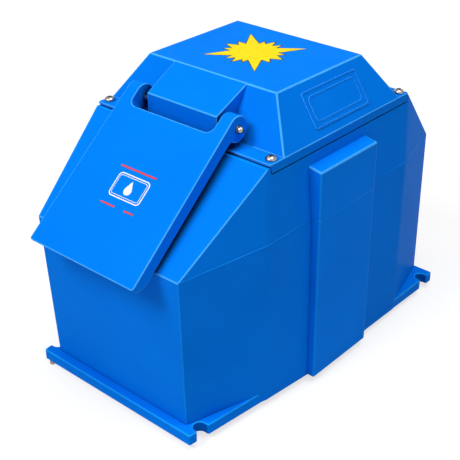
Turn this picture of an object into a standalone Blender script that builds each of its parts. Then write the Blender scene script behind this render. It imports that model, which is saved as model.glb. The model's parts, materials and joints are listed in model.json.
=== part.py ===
"""Insulated livestock waterer with one drinking flap, a bolted cover and a float valve inside.

Metres, +Z up. +X is the right-hand side, -Y the end with the drinking flap, z = 0 the ground.
"""
import bpy
import bmesh
import math
from mathutils import Vector, Matrix

# Ground clearance of the base flange, given by the moulded standing pads under it
PAD_H = 0.012

# Overall sizes: length of the base and height of the body's top over the flange's underside
BASE_L = 0.702
TOP_H = 0.4475
FRONT_END = -BASE_L / 2
REAR_END = BASE_L / 2

# Base flange
FLANGE_T = 0.021
FLANGE_FRONT_HALF = 0.183
FLANGE_MID_HALF = 0.214
FLANGE_REAR_HALF = 0.217
FLANGE_CORNER = 0.007
NOTCH_W = 0.025
NOTCH_FROM_END = 0.0285
NOTCH_FRONT_X = FLANGE_FRONT_HALF - 0.004
NOTCH_REAR_X = FLANGE_REAR_HALF - 0.008
STUD_R = 0.0055
STUD_HOLE_R = 0.0058
STUD_X = FLANGE_FRONT_HALF - 0.0085
STUD_Y = FRONT_END + 0.0085
STUD_H = 0.013

# Standing pads: two long rails, two cross rails and a keel between drain and riser
PAD_RAIL_X = 0.139
PAD_RAIL_HALF_W = 0.011
PAD_END_GAP = 0.051
PAD_CROSS_HALF = 0.120
PAD_CROSS_FROM_END = 0.036
PAD_CROSS_W = 0.020
PAD_KEEL_HALF = 0.012
PAD_KEEL_GAP = 0.0225
PAD_SINK = 0.002

# Body outline at the flange
FOOT_FRONT_HALF = 0.1595
FOOT_REAR_HALF = 0.1787
FOOT_FRONT_Y = FRONT_END + 0.018
FOOT_REAR_Y = REAR_END - 0.006
FOOT_CREASE_FRONT_Y = FRONT_END + 0.1752
FOOT_CREASE_REAR_Y = REAR_END - 0.143
FOOT_PROUD = 0.001

# Body at the parting line, set out from the ends of the base and down from the body's top
PART_FRONT_HALF = 0.1635
PART_REAR_HALF = 0.160
PART_MID_HALF = 0.2087
PART_FRONT_Y = FRONT_END + 0.003
PART_REAR_Y = REAR_END + 0.021
PART_CREASE_FRONT_Y = FRONT_END + 0.1656
PART_CREASE_REAR_Y = REAR_END - 0.1338
PART_FRONT_H = TOP_H - 0.1382
PART_MID_H = TOP_H - 0.1252
PART_REAR_H = TOP_H - 0.1355

# Body top
TOP_HALF = 0.1945
TOP_FRONT_Y = FRONT_END + 0.1782
TOP_REAR_Y = REAR_END - 0.1212
WALL = 0.006
FLOOR_T = 0.012
BODY_EDGE = 0.005

# Raised side panels
PANEL_FRONT_Y = FRONT_END + 0.279
PANEL_REAR_Y = REAR_END - 0.2615
PANEL_ROOT_HALF = TOP_HALF - 0.0065
PANEL_FOOT_HALF = PART_MID_HALF + 0.0203
PANEL_TOP_HALF = PART_MID_HALF + 0.0158
PANEL_FOOT_H = 0.0007
PANEL_TOP_H = TOP_H - 0.035
PANEL_TOP_SLOPE = 0.006

# Cover
COVER_GAP = 0.001
COVER_HALF = TOP_HALF + 0.0012
COVER_FRONT_Y = TOP_FRONT_Y + 0.0074
COVER_REAR_Y = TOP_REAR_Y - 0.0034
COVER_PLATE_T = 0.0051
SKIRT_T = 0.0055
SKIRT_DROP = 0.0123
SKIRT_SIDE_GAP = 0.0015
STEP_INSET = 0.002
STEP_LAP = 0.001
CROWN_FRONT_Y = COVER_FRONT_Y + 0.0307
CROWN_REAR_Y = COVER_REAR_Y - 0.0303
CROWN_TOP_HALF = COVER_HALF - 0.054
CROWN_TOP_FRONT_Y = CROWN_FRONT_Y + 0.0455
CROWN_TOP_REAR_Y = CROWN_REAR_Y - 0.0496
CROWN_TOP_H = TOP_H + 0.0875
CROWN_WALL = 0.005
OPENING_HALF = COVER_HALF - 0.0377
OPENING_FRONT_Y = CROWN_FRONT_Y + 0.0037
OPENING_REAR_Y = CROWN_REAR_Y - 0.0041
GASKET_GROOVE_W = 0.009
GASKET_GROOVE_T = 0.0022
GASKET_INSET = 0.0075
PAD_FOAM_T = 0.024

# Flap and its hinge
FLAP_TILT = math.radians(40.2)
FLAP_L = 0.3075
FLAP_T = 0.0235
FLAP_TOP_HALF = 0.117
FLAP_FOOT_HALF = FLAP_TOP_HALF + 0.0037
FLAP_WALL = 0.005
LUG_R = FLAP_T - 0.001
HINGE_Y = TOP_FRONT_Y + 0.0188
HINGE_H = TOP_H + 0.0385
FLAP_CUT_HALF = FLAP_TOP_HALF - 0.025
FLAP_CUT_DEPTH = 0.030
FLAP_CUT_R = 0.014

# Hinge box on the cover
BOX_FRONT_HALF = FLAP_CUT_HALF - 0.0138
BOX_REAR_HALF = BOX_FRONT_HALF + 0.0026
BOX_FRONT_Y = HINGE_Y - 0.0073
BOX_FRONT_H = HINGE_H + 0.0127
BOX_BOTTOM_H = HINGE_H - 0.0255
HINGE_BOSS_R = 0.0075
HINGE_BOSS_L = 0.0185

# Drinking hole and its raised rim, measured down the flap from the hinge
HOLE_HALF = FLAP_TOP_HALF - 0.029
HOLE_FROM = 0.082
HOLE_TO = FLAP_L - 0.0675
RIM_W = 0.012
RIM_GAP = 0.0004

# Fasteners
GAP = 0.0003
SCREW_HEAD_R = 0.0088
SCREW_R = 0.003
SCREW_L = 0.026
SCREW_X = COVER_HALF - 0.0127
SCREW_INSET_Y = 0.0135
SCREW_BOSS_R = 0.0095
SCREW_BOSS_L = 0.034
INSERT_WALL = 0.001
BOLT_HEAD_R = 0.0058
BOLT_HEAD_H = 0.0065
BOLT_R = 0.003
WASHER_R = 0.0078
WASHER_T = 0.0016
SLEEVE_R = 0.0055

# Trough
TROUGH_RIM_H = TOP_H - 0.1555
TROUGH_FLOOR_H = TROUGH_RIM_H - 0.157
TROUGH_HALF = PART_FRONT_HALF - 0.0215
TROUGH_FRONT_Y = FRONT_END + 0.046
TROUGH_REAR_Y = REAR_END - 0.246
TROUGH_TAPER = 0.016
TROUGH_WALL = 0.005
TROUGH_LIP = 0.012
TROUGH_LIP_T = 0.005

# Service pocket in the insulation
POCKET_HALF = 0.070
POCKET_REAR_Y = REAR_END - 0.051

# Drain through the trough floor and the base
DRAIN_Y = TROUGH_FRONT_Y + 0.080
DRAIN_R = 0.0160
DRAIN_BORE_R = 0.0115
DRAIN_NUT_R = 0.0255
DRAIN_PIPE_R = 0.0125
DRAIN_END_H = 0.028

# Water inlet side
VALVE_AXIS_H = TROUGH_RIM_H + 0.044
VALVE_R = 0.011
RISER_Y = TROUGH_REAR_Y + 0.100
RISER_R = 0.0107
RISER_WALL = 0.0028
RISER_TOP_H = VALVE_AXIS_H - 0.074
GROMMET_WALL = 0.0045
BRACKET_Y = TROUGH_REAR_Y - 0.0082
BRACKET_T = 0.002
BRACKET_HALF = 0.026
BRACKET_LEG = 0.034
BRACKET_SCREW_X = 0.016
BRACKET_SCREW_R = 0.002
BRACKET_SCREW_DROP = 0.018
VALVE_NOSE_Y = BRACKET_Y - 0.0348
PIN_R = 0.0021
SPINDLE_R = 0.0032
ARM_PIVOT_Y = VALVE_NOSE_Y - 0.010
ARM_PIVOT_H = VALVE_AXIS_H - 0.014
ARM_R = 0.0024
FLOAT_R = 0.036
FLOAT_Y = ARM_PIVOT_Y - 0.147
FLOAT_H = TROUGH_RIM_H - 0.030
FLOAT_STUD_R = 0.0030


def clear_scene():
    """Remove whatever the file holds, without closing it."""
    for ob in list(bpy.data.objects):
        bpy.data.objects.remove(ob, do_unlink=True)


def height(h):
    """Height above the ground of a height measured from the flange's underside."""
    return PAD_H + h


def principled(name, rgb, rough, metal=0.0):
    m = bpy.data.materials.new(name)
    m.use_nodes = True
    b = m.node_tree.nodes["Principled BSDF"]
    b.inputs["Base Color"].default_value = (rgb[0], rgb[1], rgb[2], 1.0)
    b.inputs["Roughness"].default_value = rough
    b.inputs["Metallic"].default_value = metal
    m.diffuse_color = (rgb[0], rgb[1], rgb[2], 1.0)
    return m


def add_object(bm, name, material=None):
    bmesh.ops.recalc_face_normals(bm, faces=bm.faces)
    me = bpy.data.meshes.new(name)
    bm.to_mesh(me)
    bm.free()
    ob = bpy.data.objects.new(name, me)
    bpy.context.scene.collection.objects.link(ob)
    if material:
        me.materials.append(material)
    return ob


def hull(points):
    """Convex solid round a few points."""
    bm = bmesh.new()
    for p in points:
        bm.verts.new(p)
    res = bmesh.ops.convex_hull(bm, input=bm.verts)
    loose = [g for g in res["geom_interior"] if isinstance(g, bmesh.types.BMVert)]
    bmesh.ops.delete(bm, geom=loose, context="VERTS")
    bmesh.ops.dissolve_limit(bm, angle_limit=0.002, verts=bm.verts, edges=bm.edges)
    return bm


def box(x0, x1, y0, y1, z0, z1):
    return hull([(x, y, z) for x in (x0, x1) for y in (y0, y1) for z in (z0, z1)])


def hexagon(r):
    """Corners of a nut's outline."""
    return [(r * math.cos(math.pi / 3 * i), r * math.sin(math.pi / 3 * i)) for i in range(6)]


def prism(outline, z0, z1):
    """Upright solid over a plan outline."""
    bm = bmesh.new()
    low = [bm.verts.new((x, y, z0)) for x, y in outline]
    face = bm.faces.new(low)
    res = bmesh.ops.extrude_face_region(bm, geom=[face])
    verts = [g for g in res["geom"] if isinstance(g, bmesh.types.BMVert)]
    bmesh.ops.translate(bm, vec=(0, 0, z1 - z0), verts=verts)
    return bm


def lathe(profile, steps):
    """Solid of revolution about Z of a closed (r, z) profile that starts and ends on the axis."""
    bm = bmesh.new()
    rings = []
    for r, z in profile:
        if r < 1e-9:
            rings.append([bm.verts.new((0, 0, z))])
            continue
        ring = []
        for i in range(steps):
            a = 2 * math.pi * i / steps
            ring.append(bm.verts.new((r * math.cos(a), r * math.sin(a), z)))
        rings.append(ring)
    for lo, hi in zip(rings[:-1], rings[1:]):
        for i in range(steps):
            j = (i + 1) % steps
            if len(lo) == 1:
                bm.faces.new((lo[0], hi[j], hi[i]))
            elif len(hi) == 1:
                bm.faces.new((lo[i], lo[j], hi[0]))
            else:
                bm.faces.new((lo[i], lo[j], hi[j], hi[i]))
    return bm


def ring_profile(r_in, r_out, z0, z1):
    return [(r_in, z0), (r_out, z0), (r_out, z1), (r_in, z1), (r_in, z0)]


def tube_mesh(profile, steps):
    """Solid of revolution of a closed profile that stays off the axis."""
    bm = bmesh.new()
    rings = []
    for r, z in profile[:-1]:
        ring = []
        for i in range(steps):
            a = 2 * math.pi * i / steps
            ring.append(bm.verts.new((r * math.cos(a), r * math.sin(a), z)))
        rings.append(ring)
    for k in range(len(rings)):
        lo = rings[k]
        hi = rings[(k + 1) % len(rings)]
        for i in range(steps):
            j = (i + 1) % steps
            bm.faces.new((lo[i], lo[j], hi[j], hi[i]))
    return bm


def aim(bm, origin, direction):
    """Turn a solid made about Z to point along a direction, and move it to its place."""
    q = Vector((0, 0, 1)).rotation_difference(Vector(direction).normalized())
    bmesh.ops.transform(bm, matrix=Matrix.Translation(origin) @ q.to_matrix().to_4x4(), verts=bm.verts)
    return bm


def rod(p0, p1, r, steps=20):
    length = (Vector(p1) - Vector(p0)).length
    bm = lathe([(0, 0), (r, 0), (r, length), (0, length)], steps)
    return aim(bm, p0, Vector(p1) - Vector(p0))


def soften(bm, offset, segments=2, angle=25.0, below=180.0):
    """Round the edges that are sharper than an angle."""
    bmesh.ops.recalc_face_normals(bm, faces=bm.faces)
    edges = []
    for e in bm.edges:
        if len(e.link_faces) != 2:
            continue
        turn = math.degrees(e.calc_face_angle(0.0))
        if angle < turn < below:
            edges.append(e)
    bmesh.ops.bevel(bm, geom=edges, offset=offset, segments=segments, profile=0.5,
                    affect="EDGES", clamp_overlap=True)
    return bm


def boolean(target, bm, operation):
    """Join a solid to a piece, or cut it away, and keep the result."""
    tool = add_object(bm, "tool")
    mod = target.modifiers.new("b", "BOOLEAN")
    mod.operation = operation
    mod.solver = "EXACT"
    mod.object = tool
    bpy.context.view_layer.update()
    graph = bpy.context.evaluated_depsgraph_get()
    mesh = bpy.data.meshes.new_from_object(target.evaluated_get(graph))
    target.modifiers.remove(mod)
    old = target.data
    target.data = mesh
    mesh.name = old.name
    bpy.data.meshes.remove(old)
    bpy.data.objects.remove(tool, do_unlink=True)


def cut(target, bm):
    boolean(target, bm, "DIFFERENCE")


def fuse(target, bm):
    boolean(target, bm, "UNION")


def finish(ob, angle=32.0, origin=None):
    """Tidy the mesh, shade it smooth with sharp edges, and put its origin on its axis."""
    bm = bmesh.new()
    bm.from_mesh(ob.data)
    bmesh.ops.remove_doubles(bm, verts=bm.verts, dist=0.00001)
    bmesh.ops.dissolve_degenerate(bm, edges=bm.edges, dist=0.00001)
    bmesh.ops.recalc_face_normals(bm, faces=bm.faces)
    bm.to_mesh(ob.data)
    bm.free()
    if origin is not None:
        ob.data.transform(Matrix.Translation(-Vector(origin)))
        ob.location = origin
    ob.data.shade_smooth()
    ob.data.set_sharp_from_angle(angle=math.radians(angle))
    return ob


def each(bms, name, tags, material):
    """Like fasteners, one object apiece."""
    for bm, tag in zip(bms, tags):
        finish(add_object(bm, name + "_" + tag, material))


SIDES = ("right", "left")
CORNERS = ("front_right", "rear_right", "front_left", "rear_left")


# Body shell


def body_loft(inset, floor_h, top_h):
    """Faceted convex body through the flange outline, the parting line and the top rim."""
    t = inset
    foot = [
        (FOOT_FRONT_HALF - t, FOOT_FRONT_Y + t),
        (edge_half(FOOT_CREASE_FRONT_Y) + FOOT_PROUD - t, FOOT_CREASE_FRONT_Y),
        (FLANGE_MID_HALF + FOOT_PROUD - t, PANEL_FRONT_Y),
        (FLANGE_MID_HALF + FOOT_PROUD - t, PANEL_REAR_Y),
        (edge_half(FOOT_CREASE_REAR_Y) + FOOT_PROUD - t, FOOT_CREASE_REAR_Y),
        (FOOT_REAR_HALF - t, FOOT_REAR_Y - t),
    ]
    part = [
        (PART_FRONT_HALF - t, PART_FRONT_Y + t, PART_FRONT_H - 0.3 * t),
        (PART_MID_HALF - t, PART_CREASE_FRONT_Y, PART_MID_H - 0.3 * t),
        (PART_MID_HALF - t, PANEL_FRONT_Y, PART_MID_H - 0.3 * t),
        (PART_MID_HALF - t, PANEL_REAR_Y, PART_MID_H - 0.3 * t),
        (PART_MID_HALF - t, PART_CREASE_REAR_Y, PART_MID_H - 0.3 * t),
        (PART_REAR_HALF - t, PART_REAR_Y - t, PART_REAR_H - 0.3 * t),
    ]
    top = [(TOP_HALF - t, TOP_FRONT_Y + 0.6 * t), (TOP_HALF - t, TOP_REAR_Y - 0.6 * t)]
    pts = []
    for s in (1, -1):
        pts += [(s * x, y, height(floor_h)) for x, y in foot]
        pts += [(s * x, y, height(h)) for x, y, h in part]
        pts += [(s * x, y, height(top_h)) for x, y in top]
    return hull(pts)


def edge_half(y):
    """Half width of the flange at a place along its length."""
    if y < PANEL_FRONT_Y:
        k = (y - FRONT_END) / (PANEL_FRONT_Y - FRONT_END)
        return FLANGE_FRONT_HALF + k * (FLANGE_MID_HALF - FLANGE_FRONT_HALF)
    if y < PANEL_REAR_Y:
        return FLANGE_MID_HALF
    k = (y - PANEL_REAR_Y) / (REAR_END - PANEL_REAR_Y)
    return FLANGE_MID_HALF + k * (FLANGE_REAR_HALF - FLANGE_MID_HALF)


def flange_side():
    """Right-hand edge of the flange from front to rear, with its two open notches."""
    c = FLANGE_CORNER
    r = NOTCH_W / 2
    pts = [(FLANGE_FRONT_HALF - c, FRONT_END), (FLANGE_FRONT_HALF - c * 2 / 7, FRONT_END + c * 2 / 7),
           (edge_half(FRONT_END + c), FRONT_END + c)]
    notches = ((FRONT_END + NOTCH_FROM_END, NOTCH_FRONT_X), (REAR_END - NOTCH_FROM_END, NOTCH_REAR_X))
    for cy, cx in notches:
        pts.append((edge_half(cy - r), cy - r))
        for i in range(9):
            a = -math.pi / 2 - math.pi * i / 8
            pts.append((cx + r * math.cos(a), cy + r * math.sin(a)))
        pts.append((edge_half(cy + r), cy + r))
        if cy < 0:
            pts.append((FLANGE_MID_HALF, PANEL_FRONT_Y))
            pts.append((FLANGE_MID_HALF, PANEL_REAR_Y))
    pts += [(edge_half(REAR_END - c), REAR_END - c), (FLANGE_REAR_HALF - c * 2 / 7, REAR_END - c * 2 / 7),
            (FLANGE_REAR_HALF - c, REAR_END)]
    return pts


def flange_solid():
    right = flange_side()
    outline = right + [(-x, y) for x, y in reversed(right)]
    return soften(prism(outline, height(0.0), height(FLANGE_T)), 0.0038, 2, 40)


def panel_solid(s):
    pts = []
    for y in (PANEL_FRONT_Y, PANEL_REAR_Y):
        pts += [(s * PANEL_ROOT_HALF, y, height(PANEL_FOOT_H)),
                (s * PANEL_FOOT_HALF, y, height(PANEL_FOOT_H)),
                (s * PANEL_TOP_HALF, y, height(PANEL_TOP_H)),
                (s * PANEL_ROOT_HALF, y, height(PANEL_TOP_H + PANEL_TOP_SLOPE))]
    return soften(hull(pts), 0.003, 2, 40)


def flap_frame():
    """Origin, downhill and outward directions of the closed flap's outer face."""
    n = Vector((0, -math.sin(FLAP_TILT), math.cos(FLAP_TILT)))
    t = Vector((0, -math.cos(FLAP_TILT), -math.sin(FLAP_TILT)))
    o = Vector((0, HINGE_Y, height(HINGE_H))) + LUG_R * n
    return o, t, n


def on_flap(x, s, n_off):
    o, t, n = flap_frame()
    return o + Vector((x, 0, 0)) + s * t + n_off * n


def flap_block(half, s0, s1, n0, n1):
    return hull([on_flap(x, s, n) for x in (-half, half) for s in (s0, s1) for n in (n0, n1)])


def rounded_flap_block(half, s0, s1, n0, n1, r):
    """Block square to the flap with rounded corners in the flap's plane."""
    pts = []
    for sx, ss in ((1, 1), (-1, 1), (-1, -1), (1, -1)):
        for i in range(5):
            a = math.pi / 2 * i / 4
            cx = sx * (half - r)
            cs = (s1 - r) if ss > 0 else (s0 + r)
            pts.append((cx + sx * r * math.cos(a), cs + ss * r * math.sin(a)))
    return hull([on_flap(x, s, n) for x, s in pts for n in (n0, n1)])


def standing_pads():
    """Moulded rails under the base, set in from its edge."""
    solids = []
    top = height(PAD_SINK)
    for s in (1, -1):
        x = s * PAD_RAIL_X
        solids.append(box(x - PAD_RAIL_HALF_W, x + PAD_RAIL_HALF_W, FRONT_END + PAD_END_GAP,
                          REAR_END - PAD_END_GAP, 0.0, top))
    keel_front = DRAIN_Y + DRAIN_PIPE_R + PAD_KEEL_GAP
    keel_rear = RISER_Y - RISER_R - GROMMET_WALL - PAD_KEEL_GAP - 0.0023
    solids.append(box(-PAD_KEEL_HALF, PAD_KEEL_HALF, keel_front, keel_rear, 0.0, top))
    for y in (FRONT_END + PAD_CROSS_FROM_END, REAR_END - PAD_CROSS_FROM_END - PAD_CROSS_W):
        solids.append(box(-PAD_CROSS_HALF, PAD_CROSS_HALF, y, y + PAD_CROSS_W, 0.0, top))
    return solids


def screw_places():
    return [(s * SCREW_X, y) for s in (1, -1)
            for y in (COVER_FRONT_Y + SCREW_INSET_Y, COVER_REAR_Y - SCREW_INSET_Y)]


def gasket_outline(grow):
    """Half width, front and rear of the gasket's middle line, grown a little."""
    g = GASKET_INSET + grow
    return (OPENING_HALF + g, OPENING_FRONT_Y - g, OPENING_REAR_Y + g)


def build_body(material):
    ob = add_object(soften(body_loft(0.0, 0.0005, TOP_H), BODY_EDGE, 2, 12), "body_shell", material)
    fuse(ob, flange_solid())
    fuse(ob, panel_solid(1))
    fuse(ob, panel_solid(-1))
    rim = rounded_flap_block(HOLE_HALF + RIM_W, HOLE_FROM - RIM_W, HOLE_TO + RIM_W,
                             -0.052, -FLAP_T - RIM_GAP, 0.022)
    fuse(ob, rim)
    for pad in standing_pads():
        fuse(ob, pad)
    cut(ob, body_loft(WALL, FLOOR_T, TOP_H - WALL))
    skirt_x = COVER_HALF - SKIRT_T - SKIRT_SIDE_GAP
    skirt_y0, skirt_y1 = COVER_FRONT_Y - SKIRT_SIDE_GAP, COVER_REAR_Y + SKIRT_SIDE_GAP
    for s in (1, -1):
        # the wall steps in behind the recess that the cover's skirt hangs in
        x0, x1 = sorted((s * (skirt_x - WALL), s * (skirt_x + WALL - STEP_INSET)))
        fuse(ob, box(x0, x1, skirt_y0 - WALL, skirt_y1 + WALL,
                     height(TOP_H - SKIRT_DROP - WALL), height(TOP_H - WALL + STEP_LAP)))
    for x, y in screw_places():
        low = (x, y, height(TOP_H - SCREW_BOSS_L))
        fuse(ob, rod(low, (x, y, height(TOP_H - WALL / 2)), SCREW_BOSS_R, 12))
    cut(ob, box(-OPENING_HALF, OPENING_HALF, OPENING_FRONT_Y, OPENING_REAR_Y,
                height(TOP_H - 0.03), height(TOP_H + 0.02)))
    cut(ob, rounded_flap_block(HOLE_HALF, HOLE_FROM, HOLE_TO, -0.085, 0.02, 0.014))
    for s in (1, -1):
        x0, x1 = sorted((s * skirt_x, s * (COVER_HALF + 0.1)))
        cut(ob, box(x0, x1, skirt_y0, skirt_y1, height(TOP_H - SKIRT_DROP), height(TOP_H + 0.03)))
    hx, y0, y1 = gasket_outline(GASKET_GROOVE_W / 2)
    groove = box(-hx, hx, y0, y1, height(TOP_H - GASKET_GROOVE_T), height(TOP_H + 0.01))
    cut(ob, groove)
    hx, y0, y1 = gasket_outline(-GASKET_GROOVE_W / 2)
    fuse(ob, frame_solid(hx, y0, y1, OPENING_HALF, OPENING_FRONT_Y, OPENING_REAR_Y,
                         height(TOP_H - GASKET_GROOVE_T - 0.0018), height(TOP_H)))
    for x, y in screw_places():
        low = (x, y, height(TOP_H - insert_length() - 0.0035))
        cut(ob, rod(low, (x, y, height(TOP_H + 0.01)), insert_radius() + GAP, 20))
    cut(ob, rod((0, RISER_Y, -0.01), (0, RISER_Y, height(FLOOR_T + 0.02)), RISER_R + GROMMET_WALL + GAP, 32))
    cut(ob, rod((0, DRAIN_Y, -0.01), (0, DRAIN_Y, height(FLOOR_T + 0.02)), DRAIN_PIPE_R + 0.001, 28))
    cut(ob, rod((-STUD_X, STUD_Y, height(STUD_H)), (-STUD_X, STUD_Y, -0.01), STUD_HOLE_R, 20))
    return finish(ob)


def frame_solid(hx, y0, y1, ix, iy0, iy1, z0, z1):
    """Flat rectangular ring."""
    outer = box(-hx, hx, y0, y1, z0, z1)
    ob = add_object(outer, "frame")
    cut(ob, box(-ix, ix, iy0, iy1, z0 - 0.01, z1 + 0.01))
    bm = bmesh.new()
    bm.from_mesh(ob.data)
    bpy.data.objects.remove(ob, do_unlink=True)
    return bm


def insert_radius():
    return SCREW_R + INSERT_WALL + 0.0002


def insert_length():
    return SCREW_L - 0.0035


def build_stud(material):
    r = STUD_R
    top = height(STUD_H) - 0.0004
    bm = lathe([(0, 0), (r - 0.0009, 0), (r, 0.0009), (r, top), (0, top)], 20)
    return finish(add_object(aim(bm, (-STUD_X, STUD_Y, 0.0), (0, 0, 1)), "corner_stud", material))


# Cover


def crown_points(inset, base_h, top_h):
    b = COVER_HALF - inset
    t = CROWN_TOP_HALF - inset * 0.9
    pts = []
    for s in (1, -1):
        pts += [(s * b, CROWN_FRONT_Y + inset, height(base_h)),
                (s * b, CROWN_REAR_Y - inset, height(base_h)),
                (s * t, CROWN_TOP_FRONT_Y + inset * 0.9, height(top_h)),
                (s * t, CROWN_TOP_REAR_Y - inset * 0.9, height(top_h))]
    return pts


def hinge_box_points(inset):
    rear_h = CROWN_TOP_H - inset * 1.05
    slope = (CROWN_TOP_H - BOX_FRONT_H) / (CROWN_TOP_FRONT_Y - BOX_FRONT_Y)
    back_y = CROWN_TOP_FRONT_Y + 0.03
    pts = []
    for s in (1, -1):
        r = s * (BOX_REAR_HALF - inset)
        f = s * (BOX_FRONT_HALF - inset)
        pts += [(f, BOX_FRONT_Y + inset, height(BOX_FRONT_H - inset * 1.05 + slope * inset)),
                (f, BOX_FRONT_Y + inset, height(BOX_BOTTOM_H + inset)),
                (r, CROWN_TOP_FRONT_Y, height(rear_h)),
                (r, back_y, height(rear_h - 0.02)),
                (r, back_y, height(BOX_BOTTOM_H + inset))]
    return pts


def build_cover(material):
    plate_h = TOP_H + COVER_GAP
    shelf_h = plate_h + COVER_PLATE_T
    z = height(HINGE_H)
    plate = box(-COVER_HALF, COVER_HALF, COVER_FRONT_Y, COVER_REAR_Y, height(plate_h), height(shelf_h))
    ob = add_object(soften(plate, 0.0018, 2, 40), "top_cover", material)
    for s in (1, -1):
        x0, x1 = sorted((s * (COVER_HALF - SKIRT_T), s * COVER_HALF))
        skirt = box(x0, x1, COVER_FRONT_Y, COVER_REAR_Y, height(TOP_H - SKIRT_DROP + 0.0012),
                    height(shelf_h - 0.0012))
        fuse(ob, soften(skirt, 0.0015, 2, 40))
    fuse(ob, soften(hull(crown_points(0.0, shelf_h - 0.0015, CROWN_TOP_H)), 0.0045, 2, 20))
    fuse(ob, soften(hull(hinge_box_points(0.0)), 0.0035, 2, 20))
    cut(ob, hull(crown_points(CROWN_WALL, shelf_h, CROWN_TOP_H - CROWN_WALL)))
    cut(ob, hull(hinge_box_points(CROWN_WALL)))
    boss_x = BOX_FRONT_HALF - 0.0017
    for s in (1, -1):
        fuse(ob, rod((s * (boss_x - HINGE_BOSS_L), HINGE_Y, z), (s * boss_x, HINGE_Y, z), HINGE_BOSS_R, 18))
    cut(ob, box(-OPENING_HALF, OPENING_HALF, OPENING_FRONT_Y, OPENING_REAR_Y,
                height(plate_h - 0.01), height(shelf_h + 0.0005)))
    for s in (1, -1):
        bore = BOLT_R + INSERT_WALL + GAP
        cut(ob, rod((s * (hinge_insert_x() - 0.001), HINGE_Y, z), (s * FLAP_CUT_HALF, HINGE_Y, z), bore, 18))
    for x, y in screw_places():
        cut(ob, rod((x, y, height(plate_h - 0.02)), (x, y, height(shelf_h + 0.02)), SCREW_R + GAP, 18))
    return finish(ob, 28.0)


def build_cover_foam(material):
    top_h = CROWN_TOP_H - CROWN_WALL - GAP
    half = CROWN_TOP_HALF - 0.0197
    y0 = CROWN_TOP_FRONT_Y + 0.0192
    y1 = CROWN_TOP_REAR_Y - 0.0185
    bm = soften(box(-half, half, y0, y1, height(top_h - PAD_FOAM_T), height(top_h)), 0.004, 2, 40)
    return finish(add_object(bm, "cover_insulation", material))


def build_gasket(material):
    hx, y0, y1 = gasket_outline(GASKET_GROOVE_W / 2 - GAP)
    ix, iy0, iy1 = gasket_outline(GAP - GASKET_GROOVE_W / 2)
    low = height(TOP_H - GASKET_GROOVE_T + GAP)
    bm = frame_solid(hx, y0, y1, ix, iy0, iy1, low, height(TOP_H + COVER_GAP - GAP))
    return finish(add_object(bm, "cover_gasket", material))


def screw_solid(head_r, head_h, shank_r, shank_l, steps=14):
    """Domed screw about Z, head up, with its underside at z = 0."""
    prof = []
    for i in range(5):
        a = math.pi / 2 * i / 4
        prof.append((head_r * math.sin(a), head_h * (0.22 + 0.78 * math.cos(a))))
    prof += [(head_r * 0.97, 0.0), (shank_r, 0.0), (shank_r, -shank_l + 0.001), (shank_r * 0.6, -shank_l),
             (0.0, -shank_l)]
    return lathe(prof, steps)


def build_cover_screws(material):
    top = height(TOP_H + COVER_GAP + COVER_PLATE_T + GAP)
    parts = []
    for x, y in screw_places():
        bm = screw_solid(SCREW_HEAD_R, 0.0068, SCREW_R, SCREW_L)
        parts.append(aim(bm, (x, y, top), (0, 0, 1)))
    each(parts, "cover_screw", CORNERS, material)


def build_cover_inserts(material):
    parts = []
    for x, y in screw_places():
        prof = ring_profile(SCREW_R + 0.0002, insert_radius(), 0.0, insert_length())
        low = (x, y, height(TOP_H - insert_length() - 0.003))
        parts.append(aim(tube_mesh(prof, 20), low, (0, 0, 1)))
    each(parts, "cover_insert", CORNERS, material)


# Flap


def flap_profile():
    """Side view of the flap as (s, n) points: face, rounded foot, back, hinge lug."""
    pts = [(0.0, 0.0), (FLAP_L - 0.003, 0.0), (FLAP_L - 0.0006, -0.0012), (FLAP_L, -0.004)]
    cx = FLAP_L - 0.0265
    for i in range(1, 8):
        a = math.pi / 2 * i / 8
        pts.append((cx + 0.0265 * math.cos(a), -0.004 - (FLAP_T - 0.004) * math.sin(a)))
    pts.append((cx, -FLAP_T))
    meet = math.sqrt(LUG_R ** 2 - (FLAP_T - LUG_R) ** 2)
    pts.append((meet + 0.006, -FLAP_T))
    pts.append((meet + 0.0022, -FLAP_T - 0.0012))
    start = math.radians(-12.0)
    for i in range(23):
        a = start - (math.radians(258.0)) * i / 22
        pts.append((LUG_R * math.cos(a), -LUG_R + LUG_R * math.sin(a)))
    return pts[:-1]


def flap_solid():
    prof = flap_profile()
    bm = bmesh.new()
    rows = []
    for s in (1, -1):
        row = []
        for a, n in prof:
            half = FLAP_TOP_HALF + (FLAP_FOOT_HALF - FLAP_TOP_HALF) * max(0.0, a) / FLAP_L
            row.append(bm.verts.new(on_flap(s * half, a, n)))
        rows.append(row)
    count = len(prof)
    for i in range(count):
        j = (i + 1) % count
        bm.faces.new((rows[0][i], rows[0][j], rows[1][j], rows[1][i]))
    bm.faces.new(rows[0])
    bm.faces.new(rows[1])
    return bm


def flap_cutout():
    """U-shaped clearance for the hinge box, with rounded inner corners."""
    pts = [(-FLAP_CUT_HALF, -0.06), (FLAP_CUT_HALF, -0.06)]
    r = FLAP_CUT_R
    for sx in (1, -1):
        arc = []
        for i in range(7):
            a = math.pi / 2 * i / 6
            arc.append((sx * (FLAP_CUT_HALF - r + r * math.cos(a)), FLAP_CUT_DEPTH - r + r * math.sin(a)))
        pts += arc if sx > 0 else list(reversed(arc))
    return hull([on_flap(x, s, n) for x, s in pts for n in (-0.07, 0.03)])


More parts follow.
